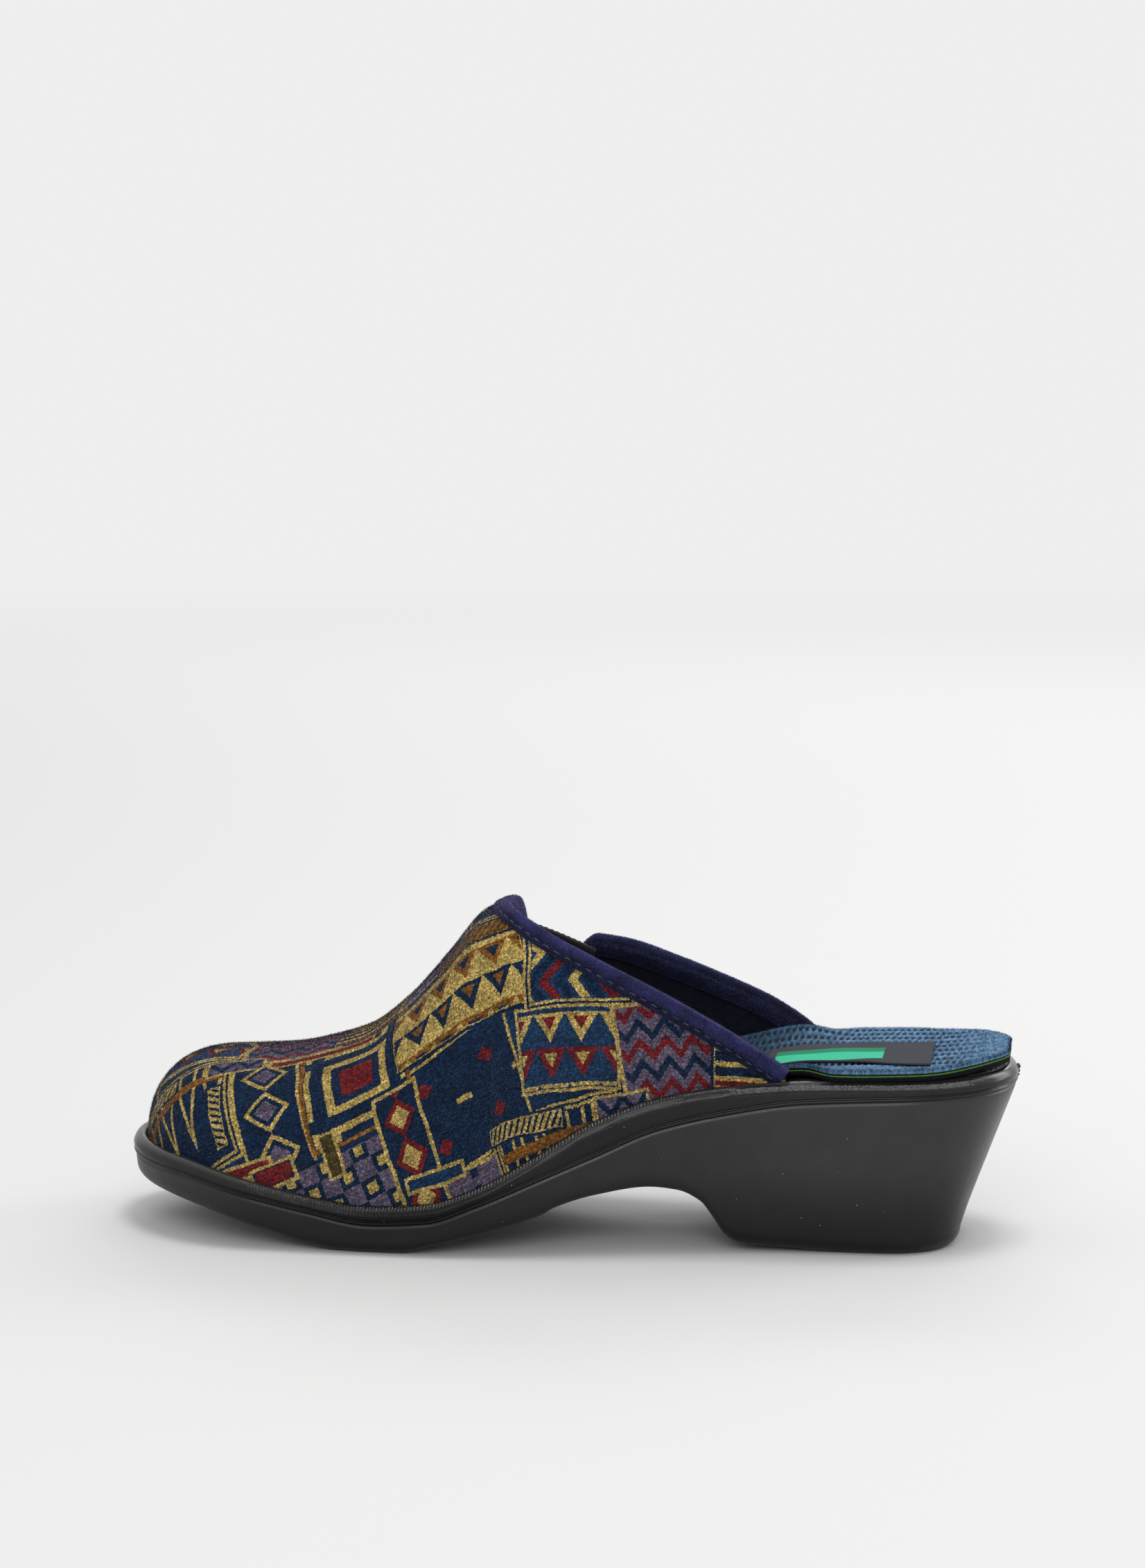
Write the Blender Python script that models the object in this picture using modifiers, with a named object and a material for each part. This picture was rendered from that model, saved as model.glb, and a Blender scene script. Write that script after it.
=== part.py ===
"""A left house slipper: a heeled mule with a moulded sole, a velour upper and a bound collar.

Lengths are in millimetres until a mesh is made. A station is the distance along the foot from
the toe of the sole. The outer side of the foot lies at -Y and the inner side at +Y.
"""
import math
from bisect import bisect_right
from collections import namedtuple

import bmesh
import bpy
from mathutils import Vector

MM = 0.001
OUTER, INNER = -1, 1        # the two sides of the foot

# Driving dimensions
LENGTH = 260.0              # the sole, from toe to heel
BALL_WIDTH = 93.0           # the sole, across the ball
HEEL_HEIGHT = 46.0          # the floor to the sole's parting line at the back
INSTEP_HEIGHT = 94.6        # the floor to the upper's edge on the instep
UPPER_WALL = 2.4            # velour, foam and lining together
GAP = 0.35                  # clearance between pieces that touch

# Sole: shares of LENGTH, of BALL_WIDTH (centre, half_width) and of HEEL_HEIGHT, in percent
SoleSection = namedtuple("SoleSection", "station centre half_width parting lip cup")
SOLE_SECTIONS = [
    SoleSection(0.0, 8.6, 45.2, 42.0, 53.9, 12.0),
    SoleSection(8.0, 4.0, 46.1, 40.4, 51.1, 12.0),
    SoleSection(15.0, 1.4, 47.1, 33.3, 43.9, 12.0),
    SoleSection(23.0, 0.2, 48.7, 24.6, 35.0, 11.0),
    SoleSection(30.0, -0.5, 49.8, 18.3, 30.2, 11.0),
    SoleSection(36.5, -1.3, 49.9, 20.7, 32.8, 11.0),
    SoleSection(42.0, -1.7, 48.8, 31.3, 43.0, 11.0),
    SoleSection(48.0, -1.9, 46.2, 45.7, 61.3, 11.0),
    SoleSection(54.5, -1.7, 42.8, 61.5, 83.5, 10.0),
    SoleSection(61.5, -1.4, 39.8, 78.5, 98.5, 8.7),
    SoleSection(69.0, -0.8, 38.2, 88.5, 105.9, 6.1),
    SoleSection(77.0, -0.2, 37.6, 95.4, 109.6, 2.2),
    SoleSection(88.5, 0.0, 37.6, 98.5, 111.1, 0.7),
    SoleSection(100.0, 0.0, 37.6, 100.0, 112.2, 0.7),
]
TreadPoint = namedtuple("TreadPoint", "station height")
TREAD_LINE = [                              # toe spring, ball, plate edge, arch, heel breast, heel
    TreadPoint(0.0, 26.5),
    TreadPoint(5.4, 25.2),
    TreadPoint(10.8, 20.9),
    TreadPoint(17.7, 10.9),
    TreadPoint(22.3, 3.9),
    TreadPoint(26.5, 0.0),
    TreadPoint(33.5, 0.0),
    TreadPoint(37.0, 5.0),
    TreadPoint(43.5, 14.3),
    TreadPoint(49.0, 25.0),
    TreadPoint(49.9, 28.3),
    TreadPoint(54.6, 36.5),
    TreadPoint(60.4, 42.6),
    TreadPoint(63.8, 40.4),
    TreadPoint(66.2, 33.0),
    TreadPoint(67.8, 20.5),
    TreadPoint(69.0, 9.6),
    TreadPoint(70.6, 2.8),
    TreadPoint(73.0, 0.0),
    TreadPoint(100.0, 0.0),
]
TOE_REACH, TOE_POWER = 45.0, 2.0            # how far back, and how squarely, the toe rounds off
HEEL_REACH, HEEL_POWER = 38.0, 2.1
LIP_WIDTH = 4.2                             # the lip that stands round the upper
SIDE_TAPER, BACK_TAPER = 0.11, 0.38         # inset of the sole's wall for each millimetre down
TREAD_EDGE = 5.0                            # rounding from the wall to the tread
EDGE_SHARE = 0.6                            # it takes this share of a low wall at most
WALL_INSET = 0.7                            # the wall starts this far inside the rim
RimRow = namedtuple("RimRow", "inset from_lip rise")    # from_lip: 1 at the lip, 0 at the parting line
RIM_ROWS = [
    RimRow(3.9, 1, -0.6),                   # inside of the lip
    RimRow(2.5, 1, 0.0),                    # crown of the lip
    RimRow(0.9, 1, -0.9),
    RimRow(0.0, 1, -2.6),                   # the band
    RimRow(0.1, 0, 2.4),
    RimRow(0.9, 0, 1.8),                    # groove over the bead
    RimRow(0.1, 0, 0.9),                    # the bead
    RimRow(1.2, 0, 0.0),                    # parting groove
    RimRow(WALL_INSET, 0, -0.7),
]
RING_STEPS = 50                             # stations from toe to heel
TREAD_WEIGHT = 2.0                          # draws more of them to the heel's breast

# Upper: shares of LENGTH and of INSTEP_HEIGHT, in percent
CrownPoint = namedtuple("CrownPoint", "station height")
CROWN_LINE = [                              # the ridge; behind the instep it only shapes the sides
    CrownPoint(12.3, 52.1),
    CrownPoint(18.5, 53.4),
    CrownPoint(23.1, 56.2),
    CrownPoint(27.7, 60.9),
    CrownPoint(32.3, 70.8),
    CrownPoint(36.9, 85.2),
    CrownPoint(40.8, 97.6),
    CrownPoint(43.5, 100.0),
    CrownPoint(48.1, 102.5),
    CrownPoint(55.8, 105.7),
    CrownPoint(80.0, 109.9),
]
CollarPoint = namedtuple("CollarPoint", "station outer inner")
COLLAR_LINE = [
    CollarPoint(43.5, 100.0, 100.0),
    CollarPoint(45.4, 98.0, 98.0),
    CollarPoint(49.6, 93.0, 85.6),
    CollarPoint(52.7, 89.4, 84.6),
    CollarPoint(55.8, 85.5, 83.2),
    CollarPoint(61.5, 78.0, 77.6),
    CollarPoint(66.5, 70.5, 71.9),
    CollarPoint(71.5, 62.1, 65.5),
    CollarPoint(75.0, 55.6, 59.4),
    CollarPoint(77.0, 51.5, 54.8),
]
CROWN_OFFSET = 3.0                          # the ridge lies toward the big toe
FULLNESS = 2.35                             # superellipse power of the sections
UPPER_INSET = LIP_WIDTH + 0.4
FEATHER_SHARE = 0.6                         # the sections start at this share of the cup's depth
UPPER_ROWS = 9
PEAK = 0.435 * LENGTH                       # the collar crosses the ridge here
THROAT_STEPS = (-11.0, -8.0, -5.5, -3.5, -1.7, 0.0, 0.4, 1.5, 3.5, 6.5, 10.5, 15.0)
COLLAR_END = {OUTER: 0.752 * LENGTH, INNER: 0.767 * LENGTH}

# Notch in the inner side for the elastic, as (station, height) in the side view
NOTCH_FRONT = [(114.3, 97.0), (113.8, 90.0), (114.6, 84.0)]     # edge of the vamp, bent
NOTCH_REAR = [(131.8, 74.0), (133.2, 80.8), (140.5, 81.2)]      # rounded corner of the quarter
NOTCH_FOOT_FRONT, NOTCH_FOOT_REAR = (120.4, 61.0), (128.6, 61.0)
NOTCH_STOP = 0.9                            # the binding ends at this share of the notch's depth
NOTCH_TOP = 106.0
NOTCH_NEAR = 6.0                            # the cut starts this far inside the middle
GORE_TOP = [(111.4, 93.4), (136.0, 79.6)]   # front and rear end of the elastic's upper edge
GORE_FOOT = [(118.4, 54.0), (129.6, 54.0)]
GORE_THICKNESS = 1.1

# Binding: a folded tape over the collar's edge
BINDING_WIDTH = 5.3
BINDING_INSIDE = 4.6
NOTCH_WIDTH = 3.4                           # the tape narrows to this at the foot of the notch
TAPE = 1.2
LINING_GAP = 0.7                            # clearance to the upper's inner face
EDGE_ROOM, NOTCH_ROOM = 0.7, 1.9            # room in the fold over the upper's edge
BINDING_STEP = 3.6
TAPE_BEVEL = 0.5
NARROW_FROM, NARROW_TO = 8.0, 40.0          # from the notch's foot, where the tape gets wider
ROOMY_TO = 24.0                             # and how far its fold stays roomy
SHORTEST_LEG, LEG_STEP = 1.4, 0.2           # the outer leg, shortened in steps over the lip
LIP_ROOM = 0.6                              # the tape stays this far above the lip
CORNER_JOIN = 0.3                           # from the collar's edge to the notch's corner

# Insole: a base and a cover, lying loose in the sole
BASE_THICKNESS, COVER_THICKNESS = 1.6, 1.5
FORE_INSET, WAIST_INSET, HEEL_INSET = 7.8, 9.4, 3.3
WAIST_FROM, WAIST_TO = 130.0, 160.0
HEEL_FROM, HEEL_TO = 4.0, 14.0              # behind the upper's end
HEEL_LIFT = 1.3                             # the loose back end stands up a little
LIFT_FROM, LIFT_TO = 0.9 * LENGTH, 0.98 * LENGTH
EDGE_CURL = 1.6                             # the edges bend up where they leave the upper
CURL_STATION, CURL_REACH = 197.0, 16.0
CURL_BAND = 4.0
LABEL_STATIONS = (188.0, 236.0)
LABEL_INNER = 5.0                           # its straight inner edge
LABEL_OUTER = (-21.5, -28.5)                # its outer edge, in front and at the back
LABEL_FLARE = (205.0, 232.0)                # where the outer edge follows the insole outward
LABEL_THICKNESS = 0.5


def smooth_curve(xs, ys):
    """A curve through the points that doesn't overshoot them (a monotone cubic)."""
    steps = [b - a for a, b in zip(xs, xs[1:])]
    slopes = [(b - a) / step for a, b, step in zip(ys, ys[1:], steps)]
    tangents = [slopes[0]]
    for before, after in zip(slopes, slopes[1:]):
        tangents.append(2 * before * after / (before + after) if before * after > 0 else 0.0)
    tangents.append(slopes[-1])

    def value(x):
        x = min(max(x, xs[0]), xs[-1])
        i = min(bisect_right(xs, x), len(steps)) - 1
        t = (x - xs[i]) / steps[i]
        start = (1 + 2 * t) * (1 - t) ** 2 * ys[i] + t * (1 - t) ** 2 * steps[i] * tangents[i]
        end = t * t * (3 - 2 * t) * ys[i + 1] - t * t * (1 - t) * steps[i] * tangents[i + 1]
        return start + end

    return value


def column_curve(table, column, size):
    """A smooth curve along the stations from one column of a table of percentages."""
    stations = [row.station / 100 * LENGTH for row in table]
    return smooth_curve(stations, [getattr(row, column) / 100 * size for row in table])


def ramp(x, start, end):
    """0 before start and 1 after end, eased between them."""
    t = min(max((x - start) / (end - start), 0.0), 1.0)
    return t * t * (3 - 2 * t)


centre_line = column_curve(SOLE_SECTIONS, "centre", BALL_WIDTH)
body_half_width = column_curve(SOLE_SECTIONS, "half_width", BALL_WIDTH)
parting_height = column_curve(SOLE_SECTIONS, "parting", HEEL_HEIGHT)
lip_height = column_curve(SOLE_SECTIONS, "lip", HEEL_HEIGHT)
cup_depth = column_curve(SOLE_SECTIONS, "cup", HEEL_HEIGHT)
tread_height = column_curve(TREAD_LINE, "height", HEEL_HEIGHT)
crown_height = column_curve(CROWN_LINE, "height", INSTEP_HEIGHT)
collar_height = {
    OUTER: column_curve(COLLAR_LINE, "outer", INSTEP_HEIGHT),
    INNER: column_curve(COLLAR_LINE, "inner", INSTEP_HEIGHT),
}
CROWN_START = CROWN_LINE[0].station / 100 * LENGTH


def footbed_height(station):
    return lip_height(station) - cup_depth(station)


def end_round(distance, reach, power):
    """0 at an end of the outline and 1 a reach away from it."""
    left = max(0.0, 1.0 - distance / reach)
    return max(0.0, 1.0 - left ** power) ** (1.0 / power)


def half_width(station):
    toe = end_round(station, TOE_REACH, TOE_POWER)
    heel = end_round(LENGTH - station, HEEL_REACH, HEEL_POWER)
    return body_half_width(station) * toe * heel


def station_of(angle):
    return LENGTH / 2 * (1 - math.cos(angle))


def angle_of(station, side):
    return side * math.acos(1 - 2 * station / LENGTH)


def rim_plan(angle):
    """The sole's outline: the angle is 0 at the toe, pi at the heel and negative on the outer side."""
    station = station_of(angle)
    side = math.copysign(1.0, math.sin(angle))
    return Vector((station, centre_line(station) + side * half_width(station)))


def rim_outward(angle):
    step = 0.002
    along = (rim_plan(angle + step) - rim_plan(angle - step)).normalized()
    return Vector((-along.y, along.x))


def inset_plan(angle, inset):
    return rim_plan(angle) - rim_outward(angle) * inset


def ring_angles():
    """Angles at even steps along the outline and the tread line, from toe to heel."""
    samples = 2000
    angles = [math.pi * i / samples for i in range(samples + 1)]
    stations = [station_of(angle) for angle in angles]
    points = [Vector((s, half_width(s), TREAD_WEIGHT * tread_height(s))) for s in stations]
    lengths = [0.0]
    for a, b in zip(points, points[1:]):
        lengths.append(lengths[-1] + (b - a).length)
    chosen = []
    for step in range(RING_STEPS + 1):
        goal = lengths[-1] * step / RING_STEPS
        chosen.append(angles[min(bisect_right(lengths, goal), samples)])
    chosen[0], chosen[-1] = 0.0, math.pi
    return chosen


HALF_RING = ring_angles()
RING = HALF_RING + [-angle for angle in reversed(HALF_RING[1:-1])]
RIM_SIDES = [rim_plan(angle).y for angle in RING]
ORIGIN = Vector((LENGTH / 2, (min(RIM_SIDES) + max(RIM_SIDES)) / 2, 0.0))


def placed(point):
    """A point of the foot's frame in the part's frame, in metres."""
    return (point - ORIGIN) * MM


def make_material(name, colour, roughness):
    material = bpy.data.materials.new(name)
    material.use_nodes = True
    shader = material.node_tree.nodes["Principled BSDF"]
    shader.inputs["Base Color"].default_value = (*colour, 1.0)
    shader.inputs["Roughness"].default_value = roughness
    material.diffuse_color = (*colour, 1.0)
    return material


def make_object(name, bm, collection, material=None):
    mesh = bpy.data.meshes.new(name)
    bm.to_mesh(mesh)
    bm.free()
    mesh.shade_smooth()
    mesh.set_sharp_from_angle(angle=math.radians(40))
    piece = bpy.data.objects.new(name, mesh)
    if material:
        mesh.materials.append(material)
    collection.objects.link(piece)
    return piece


def add_solidify(piece, thickness):
    shell = piece.modifiers.new("Wall", "SOLIDIFY")
    shell.thickness = thickness * MM
    shell.offset = -1.0
    shell.use_even_offset = True
    shell.use_quality_normals = True


def stacked_rings(rings):
    """A closed body from rings that lie over each other, its ends closed by strips across the foot."""
    bm = bmesh.new()
    levels = [[bm.verts.new(placed(point)) for point in ring] for ring in rings]
    count = len(RING)
    for above, below in zip(levels, levels[1:]):
        for i in range(count):
            j = (i + 1) % count
            bm.faces.new((above[i], above[j], below[j], below[i]))
    for ring in (levels[0], levels[-1]):
        bm.faces.new((ring[0], ring[1], ring[-1]))
        for i in range(1, RING_STEPS - 1):
            bm.faces.new((ring[i], ring[i + 1], ring[-i - 1], ring[-i]))
        bm.faces.new((ring[RING_STEPS - 1], ring[RING_STEPS], ring[RING_STEPS + 1]))
    bmesh.ops.triangulate(bm, faces=bm.faces, quad_method="SHORT_EDGE")
    bmesh.ops.recalc_face_normals(bm, faces=bm.faces)
    return bm


def surface_grid(columns):
    """An open surface from columns of points; each column is listed from its foot to its top."""
    bm = bmesh.new()
    verts = [[bm.verts.new(placed(point)) for point in column] for column in columns]
    for left, right in zip(verts, verts[1:]):
        for i in range(len(left) - 1):
            bm.faces.new((left[i], right[i], right[i + 1], left[i + 1]))
    return bm


def sole_side(angle):
    """The sole's side at one place, from the footbed's edge down to the tread's edge."""
    rim = rim_plan(angle)
    lip, parting = lip_height(rim.x), parting_height(rim.x)
    edge = inset_plan(angle, LIP_WIDTH)
    points = [Vector((*edge, footbed_height(edge.x)))]
    for row in RIM_ROWS:
        height = (lip if row.from_lip else parting) + row.rise
        points.append(Vector((*inset_plan(angle, row.inset), height)))
    wall_top = parting + RIM_ROWS[-1].rise
    taper = SIDE_TAPER + (BACK_TAPER - SIDE_TAPER) * max(0.0, rim_outward(angle).x) ** 2
    foot = tread_height(rim.x)
    for _ in range(3):
        rounding = min(TREAD_EDGE, EDGE_SHARE * (wall_top - foot))
        wall_inset = WALL_INSET + taper * (wall_top - foot - rounding)
        foot = tread_height(inset_plan(angle, wall_inset + rounding).x)
    turns = 4
    for step in range(turns + 1):
        bend = math.pi / 2 * step / turns
        inset = wall_inset + rounding * (1 - math.cos(bend))
        points.append(Vector((*inset_plan(angle, inset), foot + rounding * (1 - math.sin(bend)))))
    return points


def make_sole(collection):
    sides = [sole_side(angle) for angle in RING]
    rings = [list(ring) for ring in zip(*sides)]
    material = make_material("sole", (0.02, 0.021, 0.022), 0.42)
    return make_object("sole", stacked_rings(rings), collection, material)


def upper_point(station, turn):
    """The upper's outer face. The turn is 0 at the outer feather edge, 0.5 on the ridge, 1 inside."""
    side = OUTER if turn < 0.5 else INNER
    foot = inset_plan(angle_of(station, side), UPPER_INSET)
    crown_station = max(station, CROWN_START)
    crown = Vector((crown_station, centre_line(crown_station) + CROWN_OFFSET))
    bend = math.pi * turn
    across, up = abs(math.cos(bend)), math.sin(bend)
    reach = (across ** FULLNESS + abs(up) ** FULLNESS) ** (-1 / FULLNESS)
    plan = crown + (foot - crown) * reach * across
    base = footbed_height(foot.x) + GAP + FEATHER_SHARE * cup_depth(foot.x)
    return Vector((*plan, base + (crown_height(crown_station) - base) * reach * up))


def upper_slopes(station, turn):
    """How the upper's face runs along the stations and around the foot."""
    step, twist = 0.05, 0.0005
    along = (upper_point(station + step, turn) - upper_point(station - step, turn)) / (2 * step)
    around = (upper_point(station, turn + twist) - upper_point(station, turn - twist)) / (2 * twist)
    return along, around


def upper_normal(station, turn):
    along, around = upper_slopes(station, turn)
    return along.cross(around).normalized()


def upper_offset(station, turn, out):
    return upper_point(station, turn) + upper_normal(station, turn) * out


def slid(station, turn, direction, distance):
    """The place reached on the upper's face by going a distance along it."""
    steps = 4
    for _ in range(steps):
        along, around = upper_slopes(station, turn)
        move = direction * distance / steps
        aa, ab, bb = along.dot(along), along.dot(around), around.dot(around)
        ma, mb = move.dot(along), move.dot(around)
        span = aa * bb - ab * ab
        station += (ma * bb - mb * ab) / span
        turn += (mb * aa - ma * ab) / span
    return station, turn


def on_side(side, share):
    return share if side == OUTER else 1.0 - share


def turn_at(station, height, side):
    """The turn at which one side of the upper reaches a height."""
    low, high = 0.0, 0.5
    for _ in range(40):
        middle = (low + high) / 2
        if upper_point(station, on_side(side, middle)).z < height:
            low = middle
        else:
            high = middle
    return on_side(side, low)


def collar_turn(station, side):
    if station <= PEAK:
        return 0.5
    return turn_at(station, collar_height[side](station), side)


def upper_column(station, side):
    top = on_side(side, collar_turn(station, side))
    points = [upper_point(station, on_side(side, top * i / UPPER_ROWS)) for i in range(UPPER_ROWS + 1)]
    foot = points[0]
    return [Vector((foot.x, foot.y, footbed_height(foot.x) + GAP))] + points


def upper_stations(side):
    throat = [PEAK + step for step in THROAT_STEPS]
    front = [station_of(angle) for angle in HALF_RING if station_of(angle) < throat[0] - 2.0]
    back_steps = 12
    start = throat[-1]
    reach = COLLAR_END[side] - start
    return front + throat + [start + reach * i / back_steps for i in range(1, back_steps + 1)]


def corner_points(corner, steps=5):
    """A rounded corner from its start, its vertex and its end."""
    start, vertex, end = (Vector(point) for point in corner)
    points = []
    for i in range(steps + 1):
        t = i / steps
        points.append(start * (1 - t) ** 2 + vertex * 2 * t * (1 - t) + end * t * t)
    return points


def make_notch_cutter(collection):
    outline = [Vector((NOTCH_FRONT[0][0], NOTCH_TOP))]
    outline += corner_points(NOTCH_FRONT)
    outline += [Vector(NOTCH_FOOT_FRONT), Vector(NOTCH_FOOT_REAR)]
    outline += corner_points(NOTCH_REAR)
    outline.append(Vector((NOTCH_REAR[-1][0], NOTCH_TOP)))
    bm = bmesh.new()
    near, far = NOTCH_NEAR, BALL_WIDTH
    face = bm.faces.new([bm.verts.new(placed(Vector((p.x, near, p.y)))) for p in outline])
    swept = bmesh.ops.extrude_face_region(bm, geom=[face])
    moved = [item for item in swept["geom"] if isinstance(item, bmesh.types.BMVert)]
    bmesh.ops.translate(bm, verts=moved, vec=Vector((0, (far - near) * MM, 0)))
    bmesh.ops.recalc_face_normals(bm, faces=bm.faces)
    cutter = make_object("notch_cutter", bm, collection)
    cutter.display_type = "WIRE"
    cutter.hide_render = True
    return cutter


def make_upper(collection, cutter):
    whole = bmesh.new()
    for side in (OUTER, INNER):
        half = surface_grid([upper_column(station, side) for station in upper_stations(side)])
        if side == INNER:
            bmesh.ops.reverse_faces(half, faces=half.faces)
        mesh = bpy.data.meshes.new("upper_half")
        half.to_mesh(mesh)
        half.free()
        whole.from_mesh(mesh)
        bpy.data.meshes.remove(mesh)
    bmesh.ops.remove_doubles(whole, verts=whole.verts, dist=0.01 * MM)
    upper = make_object("upper", whole, collection, make_material("upper", (0.05, 0.09, 0.2), 0.85))
    add_solidify(upper, UPPER_WALL)
    cut = upper.modifiers.new("Notch", "BOOLEAN")
    cut.operation = "DIFFERENCE"
    cut.object = cutter
    return upper


def even_path(places):
    """Places along the upper's face, given as (station, turn), respaced at even steps."""
    points = [upper_point(*place) for place in places]
    lengths = [0.0]
    for a, b in zip(points, points[1:]):
        lengths.append(lengths[-1] + (b - a).length)
    steps = round(lengths[-1] / BINDING_STEP)
    path = []
    for step in range(steps + 1):
        goal = lengths[-1] * step / steps
        i = min(bisect_right(lengths, goal), len(places) - 1) - 1
        t = (goal - lengths[i]) / (lengths[i + 1] - lengths[i])
        path.append(tuple(a + (b - a) * t for a, b in zip(places[i], places[i + 1])))
    return path


def collar_places(side, start, end, steps=160):
    """The collar's edge between two stations, closely spaced where it crosses the ridge."""
    places = []
    for i in range(steps + 1):
        station = start + (end - start) * (i / steps) ** 2
        places.append((station, collar_turn(station, side)))
    return places


def notch_places(points):
    """The notch's edge, from points of the side view, as far as it lies under the collar."""
    lying = [p for p in points if p.y < collar_height[INNER](p.x)]
    return [(p.x, turn_at(p.x, p.y, INNER)) for p in lying]


def notch_edge(corner, foot):
    """A straight edge of the notch, from its rounded corner down to where the binding ends."""
    start, end, steps = Vector(corner), Vector(foot), 16
    return [start.lerp(end, NOTCH_STOP * i / steps) for i in range(1, steps + 1)]


def front_binding_places():
    """From the outer end of the collar over the ridge and down the front of the notch."""
    outer = list(reversed(collar_places(OUTER, PEAK, COLLAR_END[OUTER])))
    edge = notch_edge(NOTCH_FRONT[-1], NOTCH_FOOT_FRONT)
    notch = notch_places(corner_points(NOTCH_FRONT, 12) + edge)
    inner = collar_places(INNER, PEAK, notch[0][0] - CORNER_JOIN, 30)[1:]
    return outer + inner + notch


def rear_binding_places():
    """From the rear of the notch around the quarter's corner to the inner end of the collar."""
    edge = notch_edge(NOTCH_REAR[0], NOTCH_FOOT_REAR)
    notch = notch_places(edge[::-1] + corner_points(NOTCH_REAR, 12))
    collar = collar_places(INNER, PEAK, COLLAR_END[INNER])
    return notch + [place for place in collar if place[0] > notch[-1][0] + CORNER_JOIN]


def room_above_lip(place, direction, reach):
    """The reach along the upper's face, shortened to stay above the sole's lip."""
    while reach > SHORTEST_LEG:
        foot = upper_point(*slid(*place, direction, reach))
        if foot.z > lip_height(foot.x) + LIP_ROOM:
            break
        reach -= LEG_STEP
    return reach


def binding_section(place, along, width, room):
    """One section of the folded tape: down the outside, over the edge and down the inside."""
    normal = upper_normal(*place)
    inward = normal.cross(along).normalized()
    outer = room_above_lip(place, inward, width)
    inner = min(outer, BINDING_INSIDE)
    face, lining = GAP + TAPE, -(UPPER_WALL + LINING_GAP)
    back = lining - TAPE
    middle, half = (face + back) / 2, (face - back) / 2
    section = [(outer, GAP), (outer, face - TAPE_BEVEL), (outer - TAPE_BEVEL, face)]
    folds = 5
    for i in range(folds + 1):
        bend = math.pi * i / folds
        section.append((-(room + TAPE) * math.sin(bend), middle + half * math.cos(bend)))
    section += [(inner - TAPE_BEVEL, back), (inner, back + TAPE_BEVEL), (inner, lining)]
    section += [(-room, lining), (-room, GAP)]
    points = []
    for below, out in section:
        if below > 0:
            points.append(upper_offset(*slid(*place, inward, below), out))
        else:
            points.append(upper_point(*place) - inward * -below + normal * out)
    return points


def make_binding(name, places, notch_end, collection, material):
    """A tape along a path; notch_end tells which end of the path lies in the notch."""
    path = even_path(places)
    points = [upper_point(*place) for place in path]
    last = len(path) - 1
    bm = bmesh.new()
    loops = []
    for i, place in enumerate(path):
        along = (points[min(i + 1, last)] - points[max(i - 1, 0)]).normalized()
        from_notch = (last - i if notch_end else i) * BINDING_STEP
        widening = ramp(from_notch, NARROW_FROM, NARROW_TO)
        width = NOTCH_WIDTH + (BINDING_WIDTH - NOTCH_WIDTH) * widening
        room = NOTCH_ROOM + (EDGE_ROOM - NOTCH_ROOM) * ramp(from_notch, ROOMY_TO, NARROW_TO)
        section = binding_section(place, along, width, room)
        loops.append([bm.verts.new(placed(point)) for point in section])
    count = len(loops[0])
    for before, after in zip(loops, loops[1:]):
        for i in range(count):
            j = (i + 1) % count
            bm.faces.new((before[i], before[j], after[j], after[i]))
    bm.faces.new(loops[0])
    bm.faces.new(loops[-1])
    bmesh.ops.recalc_face_normals(bm, faces=bm.faces)
    return make_object(name, bm, collection, material)


def make_gore(collection):
    """The elastic panel that lies behind the notch, inside the binding."""
    depth = UPPER_WALL + LINING_GAP + TAPE + GAP
    across, down = 8, 7
    columns = []
    for i in range(across + 1):
        top = Vector(GORE_TOP[0]).lerp(Vector(GORE_TOP[1]), i / across)
        foot = Vector(GORE_FOOT[0]).lerp(Vector(GORE_FOOT[1]), i / across)
        column = []
        for j in range(down + 1):
            spot = foot.lerp(top, j / down)
            column.append(upper_offset(spot.x, turn_at(spot.x, spot.y, INNER), -depth))
        columns.append(column)
    bm = surface_grid(columns)
    bmesh.ops.reverse_faces(bm, faces=bm.faces)
    gore = make_object("gore", bm, collection, make_material("gore", (0.012, 0.012, 0.016), 0.9))
    add_solidify(gore, GORE_THICKNESS)
    return gore


def insole_inset(angle):
    station = station_of(angle)
    side = INNER if math.sin(angle) > 0 else OUTER
    end = COLLAR_END[side]
    waist = ramp(station, WAIST_FROM, WAIST_TO)
    heel = ramp(station, end + HEEL_FROM, end + HEEL_TO)
    inside = FORE_INSET + (WAIST_INSET - FORE_INSET) * waist
    return inside + (HEEL_INSET - inside) * heel


def insole_rise(station, at_edge):
    """How far the loose insole stands off the footbed."""
    rise = HEEL_LIFT * ramp(station, LIFT_FROM, LIFT_TO)
    if at_edge:
        near = 1.0 - min(abs(station - CURL_STATION) / CURL_REACH, 1.0)
        rise += EDGE_CURL * ramp(near, 0.0, 1.0)
    return rise


def insole_ring(further, height, at_edge):
    ring = []
    for angle in RING:
        plan = inset_plan(angle, insole_inset(angle) + further)
        level = footbed_height(plan.x) + GAP + height + insole_rise(plan.x, at_edge)
        ring.append(Vector((*plan, level)))
    return ring


def make_insole_layer(name, bottom, thickness, collection, material):
    top = bottom + thickness
    rings = [
        insole_ring(CURL_BAND, bottom, False),
        insole_ring(0.0, bottom, True),
        insole_ring(0.0, top, True),
        insole_ring(CURL_BAND, top, False),
    ]
    return make_object(name, stacked_rings(rings), collection, material)


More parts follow.
